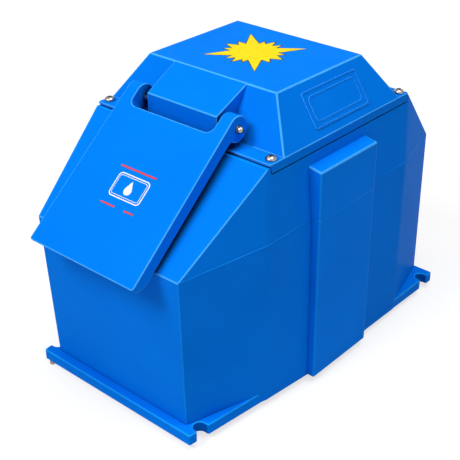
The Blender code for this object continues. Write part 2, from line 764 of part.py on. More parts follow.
def flap_foot_trim(s):
    """Wedge that rounds one lower corner of the flap in its own plane."""
    r = 0.010
    h = FLAP_FOOT_HALF + 0.0004
    pts = [(h + 0.01, FLAP_L + 0.01), (h + 0.01, FLAP_L - r)]
    for i in range(6):
        a = math.pi / 2 * i / 5
        pts.append((h - r + r * math.cos(a), FLAP_L - r + r * math.sin(a)))
    pts.append((h - r, FLAP_L + 0.01))
    bm = bmesh.new()
    rows = []
    for n in (-0.06, 0.02):
        rows.append([bm.verts.new(on_flap(s * x, a, n)) for x, a in pts])
    count = len(pts)
    for i in range(count):
        j = (i + 1) % count
        bm.faces.new((rows[0][i], rows[0][j], rows[1][j], rows[1][i]))
    bm.faces.new(rows[0])
    bm.faces.new(rows[1])
    return bm


def build_flap(material):
    ob = add_object(flap_solid(), "drinking_flap", material)
    cut(ob, flap_cutout())
    cut(ob, flap_foot_trim(1))
    cut(ob, flap_foot_trim(-1))
    bm = bmesh.new()
    bm.from_mesh(ob.data)
    bmesh.ops.remove_doubles(bm, verts=bm.verts, dist=0.00002)
    bmesh.ops.dissolve_limit(bm, angle_limit=0.01, verts=bm.verts, edges=bm.edges)
    soften(bm, 0.0022, 2, 50)
    bm.to_mesh(ob.data)
    bm.free()
    w = FLAP_WALL
    cut(ob, flap_block(FLAP_TOP_HALF - w, FLAP_CUT_DEPTH + w + 0.004, FLAP_L - 0.030, -FLAP_T + w, -w))
    cut(ob, rod(on_flap(0.0, 0.055, -0.012), on_flap(0.0, 0.055, -0.045), 0.004, 16))
    axis = (0, HINGE_Y, height(HINGE_H))
    for s in (1, -1):
        inner = (s * (FLAP_CUT_HALF - 0.007), HINGE_Y, height(HINGE_H))
        outer = (s * (FLAP_TOP_HALF + 0.013), HINGE_Y, height(HINGE_H))
        cut(ob, rod(inner, outer, BOLT_R + 0.0004, 20))
    return finish(ob, 30.0, origin=axis)


def hinge_insert_x():
    """Inner end of the threaded inserts in the hinge box."""
    return BOX_FRONT_HALF - 0.0162


def build_hinge_bolts(material):
    parts = []
    seat = FLAP_TOP_HALF + WASHER_T + 2 * GAP
    for s in (1, -1):
        bm = screw_solid(BOLT_HEAD_R, BOLT_HEAD_H, BOLT_R, seat - hinge_insert_x() - 0.0042)
        parts.append(aim(bm, (s * seat, HINGE_Y, height(HINGE_H)), (s, 0, 0)))
    each(parts, "hinge_bolt", SIDES, material)


def build_hinge_washers(material):
    parts = []
    for s in (1, -1):
        prof = ring_profile(BOLT_R + GAP, WASHER_R, 0.0, WASHER_T)
        at = (s * (FLAP_TOP_HALF + GAP), HINGE_Y, height(HINGE_H))
        parts.append(aim(tube_mesh(prof, 16), at, (s, 0, 0)))
    each(parts, "hinge_washer", SIDES, material)


def build_hinge_sleeves(material):
    parts = []
    for s in (1, -1):
        side = BOX_FRONT_HALF + 0.0008
        prof = ring_profile(BOLT_R + GAP, SLEEVE_R, 0.0, FLAP_CUT_HALF - side - 2 * GAP)
        parts.append(aim(tube_mesh(prof, 16), (s * (side + GAP), HINGE_Y, height(HINGE_H)), (s, 0, 0)))
    each(parts, "hinge_sleeve", SIDES, material)


def build_hinge_inserts(material):
    parts = []
    for s in (1, -1):
        prof = ring_profile(BOLT_R + 0.0002, BOLT_R + INSERT_WALL, 0.0, 0.0155)
        parts.append(aim(tube_mesh(prof, 20), (s * hinge_insert_x(), HINGE_Y, height(HINGE_H)), (s, 0, 0)))
    each(parts, "hinge_insert", SIDES, material)


# Trough and insulation


def trough_hull(grow, floor_h, top_h):
    """Tapered tub outline grown outward by a little."""
    k = TROUGH_TAPER
    g = grow
    pts = []
    for s in (1, -1):
        pts += [(s * (TROUGH_HALF + g), TROUGH_FRONT_Y - g, height(top_h)),
                (s * (TROUGH_HALF + g), TROUGH_REAR_Y + g, height(top_h)),
                (s * (TROUGH_HALF - k + g), TROUGH_FRONT_Y + k - g, height(floor_h)),
                (s * (TROUGH_HALF - k + g), TROUGH_REAR_Y - k + g, height(floor_h))]
    return hull(pts)


def build_trough(material):
    ob = add_object(soften(trough_hull(0.0, TROUGH_FLOOR_H, TROUGH_RIM_H - 0.001), 0.012, 2, 40),
                    "trough", material)
    lip = box(-TROUGH_HALF - TROUGH_LIP, TROUGH_HALF + TROUGH_LIP, TROUGH_FRONT_Y - TROUGH_LIP,
              TROUGH_REAR_Y + TROUGH_LIP, height(TROUGH_RIM_H - TROUGH_LIP_T), height(TROUGH_RIM_H))
    fuse(ob, soften(lip, 0.0018, 2, 40))
    inner = trough_hull(-TROUGH_WALL, TROUGH_FLOOR_H + TROUGH_WALL, TROUGH_RIM_H + 0.012)
    cut(ob, soften(inner, 0.010, 2, 40))
    low = (0, DRAIN_Y, height(TROUGH_FLOOR_H - 0.035))
    cut(ob, rod(low, (0, DRAIN_Y, height(TROUGH_FLOOR_H + 0.025)), DRAIN_R + 0.0005, 32))
    z = height(TROUGH_RIM_H - BRACKET_SCREW_DROP)
    for s in (1, -1):
        x = s * BRACKET_SCREW_X
        cut(ob, rod((x, TROUGH_REAR_Y - 0.02, z), (x, TROUGH_REAR_Y + 0.02, z), BRACKET_SCREW_R + 0.0004, 14))
    return finish(ob)


def build_foam(material):
    """Moulded block between shell and trough."""
    ob = add_object(body_loft(WALL + GAP * 2, FLOOR_T + GAP, TOP_H - 0.02), "foam_insulation", material)
    low = height(TROUGH_RIM_H - TROUGH_LIP_T - GAP)
    cut(ob, box(-BASE_L, BASE_L, -BASE_L, BASE_L, low, height(TOP_H + 0.1)))
    cut(ob, trough_hull(GAP, TROUGH_FLOOR_H - GAP, TROUGH_RIM_H - 0.001))
    cut(ob, box(-POCKET_HALF, POCKET_HALF, TROUGH_REAR_Y - TROUGH_TAPER - 0.003, POCKET_REAR_Y,
                height(-0.02), height(TOP_H)))
    cut(ob, rod((0, DRAIN_Y, height(-0.02)), (0, DRAIN_Y, height(TROUGH_RIM_H)), DRAIN_NUT_R + 0.002, 28))
    return finish(ob)


# Drain


def build_drain_fitting(material):
    """Flanged bush through the trough floor, with its tail pipe down through the base."""
    r = DRAIN_BORE_R
    low = height(DRAIN_END_H)
    seat = height(TROUGH_FLOOR_H + TROUGH_WALL + GAP)
    prof = [(r, low), (DRAIN_R, low), (DRAIN_R, seat), (DRAIN_R + 0.0075, seat),
            (DRAIN_R + 0.0075, seat + 0.0025), (DRAIN_R + 0.0055, seat + 0.0037), (r + 0.0030, seat + 0.0037),
            (r, seat - 0.0013), (r, low)]
    return finish(add_object(aim(tube_mesh(prof, 24), (0, DRAIN_Y, 0), (0, 0, 1)), "drain_fitting", material))


def build_drain_nut(material):
    """Hexagonal nut that clamps the drain fitting under the trough floor."""
    z1 = height(TROUGH_FLOOR_H - GAP)
    ob = add_object(prism(hexagon(DRAIN_NUT_R), z1 - 0.008, z1), "drain_nut", material)
    cut(ob, rod((0, 0, z1 - 0.02), (0, 0, z1 + 0.02), DRAIN_R + GAP, 32))
    ob.data.transform(Matrix.Translation((0, DRAIN_Y, 0)))
    return finish(ob)


def build_drain_pipe(material):
    prof = ring_profile(DRAIN_PIPE_R - 0.0025, DRAIN_PIPE_R, 0.004, height(DRAIN_END_H) - GAP)
    return finish(add_object(aim(tube_mesh(prof, 20), (0, DRAIN_Y, 0), (0, 0, 1)), "drain_pipe", material))


def build_drain_plug(material):
    r = DRAIN_BORE_R
    z = height(TROUGH_FLOOR_H + TROUGH_WALL)
    prof = [(0, z - 0.011), (r - 0.0006, z - 0.011), (r - 0.0004, z - 0.0012), (r + 0.0024, z + 0.0038),
            (r + 0.0024, z + 0.0075), (0.0045, z + 0.0090), (0.0040, z + 0.0210), (0.0085, z + 0.0240),
            (0.0085, z + 0.0300), (0.0065, z + 0.0325), (0, z + 0.0330)]
    ob = add_object(aim(lathe(prof, 20), (0, DRAIN_Y, 0), (0, 0, 1)), "drain_plug", material)
    return finish(ob, origin=(0, DRAIN_Y, z + 0.0038))


# Water supply


def build_grommet(material):
    r = RISER_R + GAP
    o = RISER_R + GROMMET_WALL
    w = o + 0.005
    low = height(-0.003)
    high = height(FLOOR_T + 0.004)
    prof = [(r, low), (w, low), (w, height(-GAP)), (o, height(-GAP)), (o, height(FLOOR_T + GAP)),
            (w, height(FLOOR_T + GAP)), (w, high), (r, high), (r, low)]
    return finish(add_object(aim(tube_mesh(prof, 22), (0, RISER_Y, 0), (0, 0, 1)), "riser_grommet", material))


def build_riser(material):
    prof = ring_profile(RISER_R - RISER_WALL, RISER_R, 0.002, height(RISER_TOP_H))
    return finish(add_object(aim(tube_mesh(prof, 20), (0, RISER_Y, 0), (0, 0, 1)), "supply_riser", material))


def build_shutoff(material):
    """Ball valve body: socket on the riser, waist and a hexagonal outlet."""
    b = height(RISER_TOP_H - 0.020)
    r = RISER_R + GAP
    top = b + 0.0204
    prof = [(r, b), (r + 0.0055, b), (r + 0.0055, b + 0.014), (r + 0.0075, b + 0.018),
            (r + 0.0085, b + 0.028), (r + 0.0075, b + 0.038), (0.0150, b + 0.042), (0.0150, b + 0.054),
            (0.0095, b + 0.054), (0.0095, top), (r, top), (r, b)]
    ob = add_object(aim(tube_mesh(prof, 22), (0, RISER_Y, 0), (0, 0, 1)), "shutoff_valve", material)
    x, y, z = shutoff_axis()
    fuse(ob, rod((r + 0.0040, y, z), (x - GAP, y, z), 0.0070, 20))
    fuse(ob, rod((x - 0.0015, y, z), (x + 0.0065, y, z), SPINDLE_R, 16))
    return finish(ob)


def shutoff_axis():
    """Where the handle turns, clear of the valve's widest part."""
    return (RISER_R + GAP + 0.0155, RISER_Y, height(RISER_TOP_H + 0.008))


def build_shutoff_handle(material):
    x, y, z = shutoff_axis()
    pts = []
    for i in range(9):
        a = math.pi + math.pi * i / 8
        pts.append((0.0085 * math.cos(a), 0.0085 * math.sin(a)))
    pts += [(0.0055, 0.040), (0.0062, 0.052), (0.0040, 0.058), (-0.0040, 0.058), (-0.0062, 0.052),
            (-0.0055, 0.040)]
    bm = prism(pts, 0.0, 0.0030)
    soften(bm, 0.0006, 1, 40)
    turn = Matrix.Rotation(math.pi / 2, 4, "Y")
    bmesh.ops.transform(bm, matrix=turn, verts=bm.verts)
    bmesh.ops.transform(bm, matrix=Matrix.Rotation(math.pi / 2, 4, "X"), verts=bm.verts)
    bmesh.ops.transform(bm, matrix=Matrix.Translation((x, y, z)), verts=bm.verts)
    ob = add_object(bm, "shutoff_handle", material)
    cut(ob, rod((x - 0.01, y, z), (x + 0.01, y, z), SPINDLE_R + GAP, 16))
    return finish(ob, origin=(x, y, z))


def build_handle_nut(material):
    x, y, z = shutoff_axis()
    ob = add_object(prism(hexagon(SPINDLE_R + 0.0030), 0.0, 0.0034), "handle_nut", material)
    cut(ob, rod((0, 0, -0.01), (0, 0, 0.01), SPINDLE_R + GAP, 16))
    ob.data.transform(Matrix.Rotation(math.pi / 2, 4, "Y"))
    ob.data.transform(Matrix.Translation((x + 0.0030 + GAP, y, z)))
    return finish(ob)


def bent_tube(path, r_in, r_out, steps):
    """Open-ended tube along points that lie in the plane x = 0."""
    bm = bmesh.new()
    rings = {r_in: [], r_out: []}
    for i, p in enumerate(path):
        before = path[max(i - 1, 0)]
        after = path[min(i + 1, len(path) - 1)]
        t = (Vector(after) - Vector(before)).normalized()
        side = Vector((1, 0, 0))
        up = t.cross(side)
        for r in (r_in, r_out):
            ring = []
            for k in range(steps):
                a = 2 * math.pi * k / steps
                ring.append(bm.verts.new(Vector(p) + r * (math.cos(a) * side + math.sin(a) * up)))
            rings[r].append(ring)
    for r in (r_in, r_out):
        for lo, hi in zip(rings[r][:-1], rings[r][1:]):
            for k in range(steps):
                j = (k + 1) % steps
                bm.faces.new((lo[k], lo[j], hi[j], hi[k]))
    for end in (0, -1):
        for k in range(steps):
            j = (k + 1) % steps
            inner = rings[r_in][end]
            outer = rings[r_out][end]
            bm.faces.new((inner[k], inner[j], outer[j], outer[k]))
    return bm


def build_elbow(material):
    """Supply elbow: up out of the shut-off, then forward into the float valve."""
    za = height(VALVE_AXIS_H)
    bend = 0.016
    path = [(0, RISER_Y, height(RISER_TOP_H + 0.016))]
    for i in range(6):
        a = math.pi / 2 * i / 5
        path.append((0, RISER_Y - bend + bend * math.cos(a), za - bend + bend * math.sin(a)))
    path.append((0, VALVE_NOSE_Y + 0.066, za))
    ob = add_object(bent_tube(path, 0.0062, 0.0092, 14), "supply_elbow", material)
    z0 = height(RISER_TOP_H + 0.0343)
    collar = ring_profile(0.0085, 0.0118, 0.0, 0.009)
    fuse(ob, aim(tube_mesh(collar, 14), (0, RISER_Y, z0), (0, 0, 1)))
    fuse(ob, aim(tube_mesh(collar, 14), (0, VALVE_NOSE_Y + 0.0775, za), (0, 1, 0)))
    return finish(ob)


def build_valve_body(material):
    """Float valve: threaded tail behind the bracket, collar, bored nose and a pivot fork."""
    za = height(VALVE_AXIS_H)
    y = VALVE_NOSE_Y
    r = VALVE_R + 0.0005
    prof = [(0.0066, 0.0), (r + 0.0010, 0.0), (r + 0.0010, 0.026), (r + 0.0050, 0.026), (r + 0.0050, 0.0345),
            (r, 0.0345), (r, 0.077), (0.0095, 0.077), (0.0095, 0.052), (0.0030, 0.052), (0.0030, 0.024),
            (0.0066, 0.024), (0.0066, 0.0)]
    ob = add_object(aim(tube_mesh(prof, 18), (0, y, za), (0, 1, 0)), "float_valve_body", material)
    side = [(0.0040, 0.0080), (0.0040, 0.0110), (-0.0060, 0.0210), (-0.0150, 0.0200), (-0.0160, 0.0100),
            (-0.0080, 0.0072)]
    z = height(ARM_PIVOT_H)
    for s in (1, -1):
        x0, x1 = sorted((s * 0.0052, s * 0.0088))
        fuse(ob, hull([(x, y + dy, za - dz) for x in (x0, x1) for dy, dz in side]))
        cut(ob, rod((x0 - 0.002, ARM_PIVOT_Y, z), (x1 + 0.002, ARM_PIVOT_Y, z), PIN_R + GAP, 16))
    cut(ob, rod((0, y + 0.0180, za - 0.003), (0, y + 0.0180, za - 0.03), 0.0030, 16))
    return finish(ob)


def build_valve_nut(material):
    za = height(VALVE_AXIS_H)
    ob = add_object(prism(hexagon(VALVE_R + 0.0075), 0.0, 0.0070), "valve_locknut", material)
    cut(ob, rod((0, 0, -0.01), (0, 0, 0.02), VALVE_R + 0.0005 + GAP, 28))
    ob.data.transform(Matrix.Rotation(-math.pi / 2, 4, "X"))
    ob.data.transform(Matrix.Translation((0, BRACKET_Y + BRACKET_T + GAP, za)))
    return finish(ob)


def trough_inner_y(h):
    """Inner face of the trough's rear wall at a height."""
    top = TROUGH_RIM_H + 0.012
    run = top - TROUGH_FLOOR_H - TROUGH_WALL
    return TROUGH_REAR_Y - TROUGH_WALL - TROUGH_TAPER * (top - h) / run


def trough_outer_y(h):
    """Outer face of the trough's rear wall at a height."""
    top = TROUGH_RIM_H - 0.001
    return TROUGH_REAR_Y - TROUGH_TAPER * (top - h) / (top - TROUGH_FLOOR_H)


def build_bracket(material):
    """Folded plate: upright with the valve hole, foot over the lip, leg down the trough's rear wall."""
    za = VALVE_AXIS_H
    t = BRACKET_T
    y1 = BRACKET_Y + t
    foot = height(TROUGH_RIM_H + GAP)
    upright = box(-BRACKET_HALF, BRACKET_HALF, BRACKET_Y, y1, foot, height(za + 2 * VALVE_R))
    ob = add_object(upright, "valve_bracket", material)
    y0 = trough_inner_y(TROUGH_RIM_H) - GAP - t
    low = TROUGH_RIM_H - BRACKET_LEG
    y2 = trough_inner_y(low) - GAP - t
    rear = TROUGH_REAR_Y + TROUGH_LIP - 0.002
    fuse(ob, box(-BRACKET_HALF, BRACKET_HALF, y0, rear, foot, foot + t))
    side = [(y0, foot + t), (y0 + t, foot + t), (y0, height(TROUGH_RIM_H)), (y0 + t, height(TROUGH_RIM_H)),
            (y2, height(low)), (y2 + t, height(low))]
    fuse(ob, hull([(x, y, z) for x in (-BRACKET_HALF, BRACKET_HALF) for y, z in side]))
    before = BRACKET_Y - 0.0168
    behind = BRACKET_Y + 0.0232
    cut(ob, rod((0, before, height(za)), (0, behind, height(za)), VALVE_R + 0.0005 + GAP, 24))
    z = height(TROUGH_RIM_H - BRACKET_SCREW_DROP)
    for s in (1, -1):
        x = s * BRACKET_SCREW_X
        cut(ob, rod((x, before - 0.03, z), (x, behind, z), BRACKET_SCREW_R + GAP, 14))
    return finish(ob)


def build_plunger(material):
    za = height(VALVE_AXIS_H)
    prof = [(0, 0.0), (0.0052, 0.0), (0.0062, 0.0010), (0.0062, 0.0200), (0.0050, 0.0205), (0, 0.0205)]
    y = VALVE_NOSE_Y - 0.0035
    bm = aim(lathe(prof, 22), (0, y, za), (0, 1, 0))
    return finish(add_object(bm, "valve_plunger", material), origin=(0, y, za))


def build_plunger_seal(material):
    za = height(VALVE_AXIS_H)
    y = VALVE_NOSE_Y + 0.0173
    bm = rod((0, y, za), (0, y + 0.0037, za), 0.0054, 22)
    return finish(add_object(bm, "plunger_seal", material))


def build_arm_pin(material):
    z = height(ARM_PIVOT_H)
    r = PIN_R
    bm = lathe([(0, 0), (r + 0.0015, 0), (r + 0.0015, 0.0012), (r, 0.0012), (r, 0.0215), (0, 0.0215)], 18)
    return finish(add_object(aim(bm, (0.0103, ARM_PIVOT_Y, z), (-1, 0, 0)), "arm_pin", material))


def build_float_arm(material):
    """Lever: cam block in the fork, then the bent rod down to the float."""
    y = ARM_PIVOT_Y
    z = height(ARM_PIVOT_H)
    top = height(FLOAT_H + FLOAT_R)
    side = [(0.0055, 0.0130), (0.0055, -0.0030), (0.0010, -0.0062), (-0.0090, -0.0062), (-0.0140, -0.0010),
            (-0.0120, 0.0060), (0.0, 0.0165)]
    block = hull([(x, y + dy, z + dz) for x in (-0.0048, 0.0048) for dy, dz in side])
    ob = add_object(block, "float_arm", material)
    knee = (0, FLOAT_Y + 0.045, z - 0.0060)
    end = (0, FLOAT_Y + 0.010, top + 0.014)
    fuse(ob, rod((0, y - 0.009, z), knee, ARM_R, 14))
    ball = bmesh.new()
    at = Matrix.Translation(knee)
    bmesh.ops.create_uvsphere(ball, u_segments=10, v_segments=6, radius=ARM_R + 0.0001, matrix=at)
    fuse(ob, ball)
    fuse(ob, rod(knee, end, ARM_R, 14))
    fuse(ob, rod((0, FLOAT_Y, top + 0.0100), (0, FLOAT_Y, top + 0.0180), 0.0085, 20))
    fuse(ob, rod(end, (0, FLOAT_Y + 0.004, top + 0.014), ARM_R, 14))
    low = (0, FLOAT_Y, height(FLOAT_H))
    cut(ob, rod(low, (0, FLOAT_Y, height(FLOAT_H + FLOAT_R + 0.054)), FLOAT_STUD_R + GAP, 18))
    cut(ob, rod((-0.01, y, z), (0.01, y, z), PIN_R + GAP, 16))
    return finish(ob, origin=(0, y, z))


def build_float(material):
    """Moulded float with a neck stud up through the arm's eye."""
    prof = []
    for i in range(12):
        a = -math.pi / 2 + math.pi * i / 11 * 0.93
        prof.append((FLOAT_R * math.cos(a), FLOAT_H + FLOAT_R * 0.94 * math.sin(a)))
    prof[0] = (0, prof[0][1])
    top = FLOAT_H + FLOAT_R
    r = FLOAT_STUD_R
    prof += [(r + 0.0035, top + 0.0015), (r + 0.0035, top + 0.0097), (r, top + 0.0097), (r, top + 0.0290),
             (0, top + 0.0290)]
    prof = [(r, height(h)) for r, h in prof]
    return finish(add_object(aim(lathe(prof, 20), (0, FLOAT_Y, 0), (0, 0, 1)), "float", material))


def build_float_nut(material):
    """Wing nut that holds the float to its arm."""
    z = height(FLOAT_H + FLOAT_R) + 0.0180 + GAP
    barrel = rod((0, FLOAT_Y, z), (0, FLOAT_Y, z + 0.007), FLOAT_STUD_R + 0.0028, 20)
    ob = add_object(barrel, "float_wing_nut", material)
    for s in (1, -1):
        wing = hull([(x, FLOAT_Y + y, zz) for y in (-0.0012, 0.0012) for x, zz in
                     ((s * 0.0040, z + 0.0010), (s * 0.0040, z + 0.0062), (s * 0.0115, z + 0.0125),
                      (s * 0.0142, z + 0.0105), (s * 0.0120, z + 0.0050))])
        fuse(ob, wing)
    cut(ob, rod((0, FLOAT_Y, z - 0.01), (0, FLOAT_Y, z + 0.03), FLOAT_STUD_R + GAP, 18))
    return finish(ob)


def build_bracket_screws(material):
    """Two screws through the bracket and the trough's rear wall."""
    h = TROUGH_RIM_H - BRACKET_SCREW_DROP
    r = BRACKET_SCREW_R
    y = trough_inner_y(h) - BRACKET_T - 3 * GAP
    shank = TROUGH_WALL + BRACKET_T + 0.0095
    parts = []
    for s in (1, -1):
        bm = screw_solid(2 * r, 0.0024, r, shank, 12)
        parts.append(aim(bm, (s * BRACKET_SCREW_X, y, height(h)), (0, -1, 0)))
    each(parts, "bracket_screw", SIDES, material)


def build_bracket_nuts(material):
    """Nuts of the bracket screws, on the outside of the trough's rear wall."""
    h = TROUGH_RIM_H - BRACKET_SCREW_DROP
    r = BRACKET_SCREW_R + 0.0022
    y = trough_outer_y(h + r) + GAP
    for s, tag in ((1, "right"), (-1, "left")):
        ob = add_object(prism(hexagon(r), 0.0, 0.0032), "bracket_nut_" + tag, material)
        cut(ob, rod((0, 0, -0.01), (0, 0, 0.02), BRACKET_SCREW_R + GAP, 12))
        ob.data.transform(Matrix.Rotation(-math.pi / 2, 4, "X"))
        ob.data.transform(Matrix.Translation((s * BRACKET_SCREW_X, y, height(h))))
        finish(ob)


def build_all():
    blue = principled("blue_polyethylene", (0.003, 0.17, 0.72), 0.38)
    trough_blue = principled("trough_polyethylene", (0.10, 0.28, 0.62), 0.40)
    foam = principled("polyurethane_foam", (0.80, 0.70, 0.42), 0.90)
    steel = principled("stainless_steel", (0.62, 0.62, 0.60), 0.28, 1.0)
    brass = principled("brass", (0.72, 0.52, 0.24), 0.32, 1.0)
    rubber = principled("black_rubber", (0.02, 0.02, 0.02), 0.65)
    pipe = principled("black_pipe", (0.03, 0.03, 0.035), 0.45)
    red = principled("handle_vinyl", (0.55, 0.03, 0.02), 0.45)
    white = principled("float_plastic", (0.75, 0.74, 0.70), 0.45)
    build_body(blue)
    build_cover(blue)
    build_flap(blue)
    build_trough(trough_blue)
    build_foam(foam)
    build_cover_foam(foam)
    build_gasket(rubber)
    build_cover_screws(steel)
    build_cover_inserts(brass)
    build_hinge_bolts(steel)
    build_hinge_washers(steel)
    build_hinge_sleeves(steel)
    build_hinge_inserts(brass)
    build_stud(steel)
    build_drain_fitting(brass)
    build_drain_nut(brass)
    build_drain_pipe(pipe)
    build_drain_plug(rubber)
    build_grommet(rubber)
    build_riser(pipe)
    build_shutoff(brass)
    build_shutoff_handle(red)
    build_handle_nut(steel)
    build_elbow(brass)
    build_valve_body(brass)
    build_valve_nut(brass)
    build_bracket(steel)
    build_plunger(brass)
    build_plunger_seal(rubber)
    build_arm_pin(steel)
    build_float_arm(steel)
    build_float(white)
    build_float_nut(brass)
    build_bracket_screws(steel)
    build_bracket_nuts(steel)


clear_scene()
build_all()
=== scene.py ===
"""Looks of the insulated livestock waterer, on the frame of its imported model."""
import json
import math
import bmesh
import bpy
from mathutils import Matrix, Vector


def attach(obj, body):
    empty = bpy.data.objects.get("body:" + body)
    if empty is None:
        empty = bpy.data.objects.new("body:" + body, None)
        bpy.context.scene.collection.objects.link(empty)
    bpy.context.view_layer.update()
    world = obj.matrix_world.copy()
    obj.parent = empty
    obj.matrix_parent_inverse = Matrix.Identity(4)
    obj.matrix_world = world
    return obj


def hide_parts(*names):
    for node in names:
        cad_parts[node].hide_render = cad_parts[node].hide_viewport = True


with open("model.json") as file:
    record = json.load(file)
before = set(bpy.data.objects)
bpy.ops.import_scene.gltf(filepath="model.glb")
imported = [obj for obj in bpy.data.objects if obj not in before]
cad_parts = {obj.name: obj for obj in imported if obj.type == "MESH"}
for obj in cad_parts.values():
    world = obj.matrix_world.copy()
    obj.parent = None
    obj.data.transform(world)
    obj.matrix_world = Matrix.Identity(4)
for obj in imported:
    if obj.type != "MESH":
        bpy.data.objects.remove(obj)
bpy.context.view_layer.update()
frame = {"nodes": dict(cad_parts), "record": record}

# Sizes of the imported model, in metres: _H is a height over the flange's underside, _HALF half a width
PAD_H = 0.012
BASE_L = 0.702
FLANGE_T = 0.021
FLANGE_FRONT_HALF = 0.183
FLANGE_MID_HALF = 0.214
FLANGE_REAR_HALF = 0.217
NOTCH_R = 0.0119
NOTCH_FROM_END = 0.0296
NOTCH_FRONT_X = 0.179
NOTCH_REAR_X = 0.209
FLANGE_CORNER_R = 0.0032
PART_H = 0.3223
TOP_H = 0.4475
WALL = 0.006
FLOOR_T = 0.012
PAD_LAP = 0.002
PANEL_FRONT_Y = -0.072
PANEL_REAR_Y = 0.0895
PANEL_FOOT_HALF = 0.22895
PANEL_TOP_HALF = 0.2245
PANEL_TOP_H = 0.4125
PANEL_FOOT_H = 0.0007
PANEL_ROOT_HALF = 0.188
COVER_HALF = 0.1957
COVER_FRONT_Y = -0.1654
COVER_REAR_Y = 0.2264
PLATE_H = 0.4485
SHELF_H = 0.4536
SKIRT_T = 0.0055
SKIRT_H = 0.4352
SKIRT_SIDE_GAP = 0.0015
STEP_INSET = 0.002
STEP_LAP = 0.001
SCREW_HALF = 0.183
SCREW_FROM_END = 0.0135
SCREW_HOLE_R = 0.0033
INSERT_R = 0.0045
INSERT_DEPTH = 0.026
BOSS_R = 0.0095
BOSS_DEPTH = 0.034
CROWN_FRONT_Y = -0.1347
CROWN_REAR_Y = 0.1961
CROWN_TOP_HALF = 0.1417
CROWN_TOP_FRONT_Y = -0.0892
CROWN_TOP_REAR_Y = 0.1465
CROWN_TOP_H = 0.5347
CROWN_WALL = 0.005
OPENING_HALF = 0.158
OPENING_FRONT_Y = -0.131
OPENING_REAR_Y = 0.192
GROOVE_W = 0.012
GROOVE_DEPTH = 0.0022
RAIL_W = 0.003
RAIL_H = 0.004
BOX_REAR_HALF = 0.0808
BOX_FRONT_HALF = 0.0782
BOX_FRONT_Y = -0.1613
BOX_FRONT_H = 0.4987
BOX_BOTTOM_H = 0.4605
HINGE_Y = -0.154
HINGE_H = 0.486
LUG_R = 0.0225
HINGE_BOSS_R = 0.0075
HINGE_INSERT_R = 0.0043
HINGE_BOLT_ROOM_R = 0.0034
FLAP_TILT = math.radians(40.2)
FLAP_L = 0.3066
FLAP_T = 0.0235
FLAP_TOP_HALF = 0.117
FLAP_FOOT_HALF = 0.1207
FLAP_WALL = 0.005
FLAP_CUT_HALF = 0.092
FLAP_CUT_DEPTH = 0.030
FLAP_CUT_R = 0.014
FLAP_EDGE_T = 0.004
FLAP_FOOT_R = 0.0265
FLAP_CORNER_R = 0.0045
HOLE_HALF = 0.088
HOLE_FROM = 0.082
HOLE_TO = 0.240
HOLE_CORNER_R = 0.014
RIM_W = 0.012
RIM_CORNER_R = 0.022
RIM_ROOT = 0.052
RIM_GAP = 0.0004
RISER_Y = 0.205
RISER_HOLE_R = 0.0155
DRAIN_Y = -0.225
DRAIN_HOLE_R = 0.0135
STUD_AT = (-0.1745, -0.3425)
STUD_HOLE_R = 0.0058
STUD_HOLE_H = 0.013
LABEL_AT = (0.008, 0.163)

# Material slots of the moulded pieces, in the order of the body's materials: plain skin, rounded edges with a
# painted highlight, upright and top edges with a quieter painted highlight, flange rims with a painted
# highlight, notch walls with painted shade, and faces in a lighter painted-lit blue
SKIN, LIT_EDGE, QUIET_LIT_EDGE, LIT_FLANGE_RIM, SHADED_NOTCH, LIT_FACE = range(6)

# Body outline: (half width, y) at the foot and (half width, y, height) at the parting line
FOOT = [(0.1595, -0.333), (0.2045, -0.1758), (0.215, PANEL_FRONT_Y), (0.215, PANEL_REAR_Y),
        (0.2164, 0.208), (0.1787, 0.345)]
PARTING = [(0.1635, -0.348, 0.3093), (0.2087, -0.1854, PART_H), (0.2087, PANEL_FRONT_Y, PART_H),
           (0.2087, PANEL_REAR_Y, PART_H), (0.2087, 0.2172, PART_H), (0.160, 0.3716, 0.312)]
TOP = [(0.1945, -0.1728), (0.1945, 0.2298)]


def height(h):
    """Height over the ground of a height over the flange's underside."""
    return PAD_H + h


def span(side, near, far):
    """The two x values of a piece on one side, the lower first."""
    return sorted((side * near, side * far))


def corners(half_x, half_y, r, steps=7, x=0.0, y=0.0):
    """Outline of a rounded rectangle round a point."""
    pts = []
    for k, (sx, sy) in enumerate(((1, 1), (-1, 1), (-1, -1), (1, -1))):
        for i in range(steps):
            a = math.pi / 2 * (k + i / (steps - 1))
            pts.append((x + sx * (half_x - r) + r * math.cos(a), y + sy * (half_y - r) + r * math.sin(a)))
    return pts


# Node helpers


def new_material(name):
    m = bpy.data.materials.new(name)
    m.use_nodes = True
    m.node_tree.nodes.clear()
    out = m.node_tree.nodes.new("ShaderNodeOutputMaterial")
    shader = m.node_tree.nodes.new("ShaderNodeBsdfPrincipled")
    m.node_tree.links.new(shader.outputs["BSDF"], out.inputs["Surface"])
    return m, m.node_tree.nodes, m.node_tree.links, shader


def coords(nodes):
    return nodes.new("ShaderNodeTexCoord").outputs["Object"]


def noise(nodes, links, vec, scale, detail=3.0, rough=0.5):
    n = nodes.new("ShaderNodeTexNoise")
    n.inputs["Scale"].default_value = scale
    n.inputs["Detail"].default_value = detail
    n.inputs["Roughness"].default_value = rough
    links.new(vec, n.inputs["Vector"])
    return n.outputs["Fac"]


def ramp(nodes, links, fac, stops):
    r = nodes.new("ShaderNodeValToRGB")
    e = r.color_ramp.elements
    while len(e) > len(stops):
        e.remove(e[-1])
    while len(e) < len(stops):
        e.new(1.0)
    for k, (pos, col) in enumerate(stops):
        e[k].position = pos
        e[k].color = (*col, 1.0)
    links.new(fac, r.inputs["Fac"])
    return r.outputs["Color"]


def two_tone(nodes, links, fac, dark, light):
    return ramp(nodes, links, fac, [(0.3, dark), (0.7, light)])


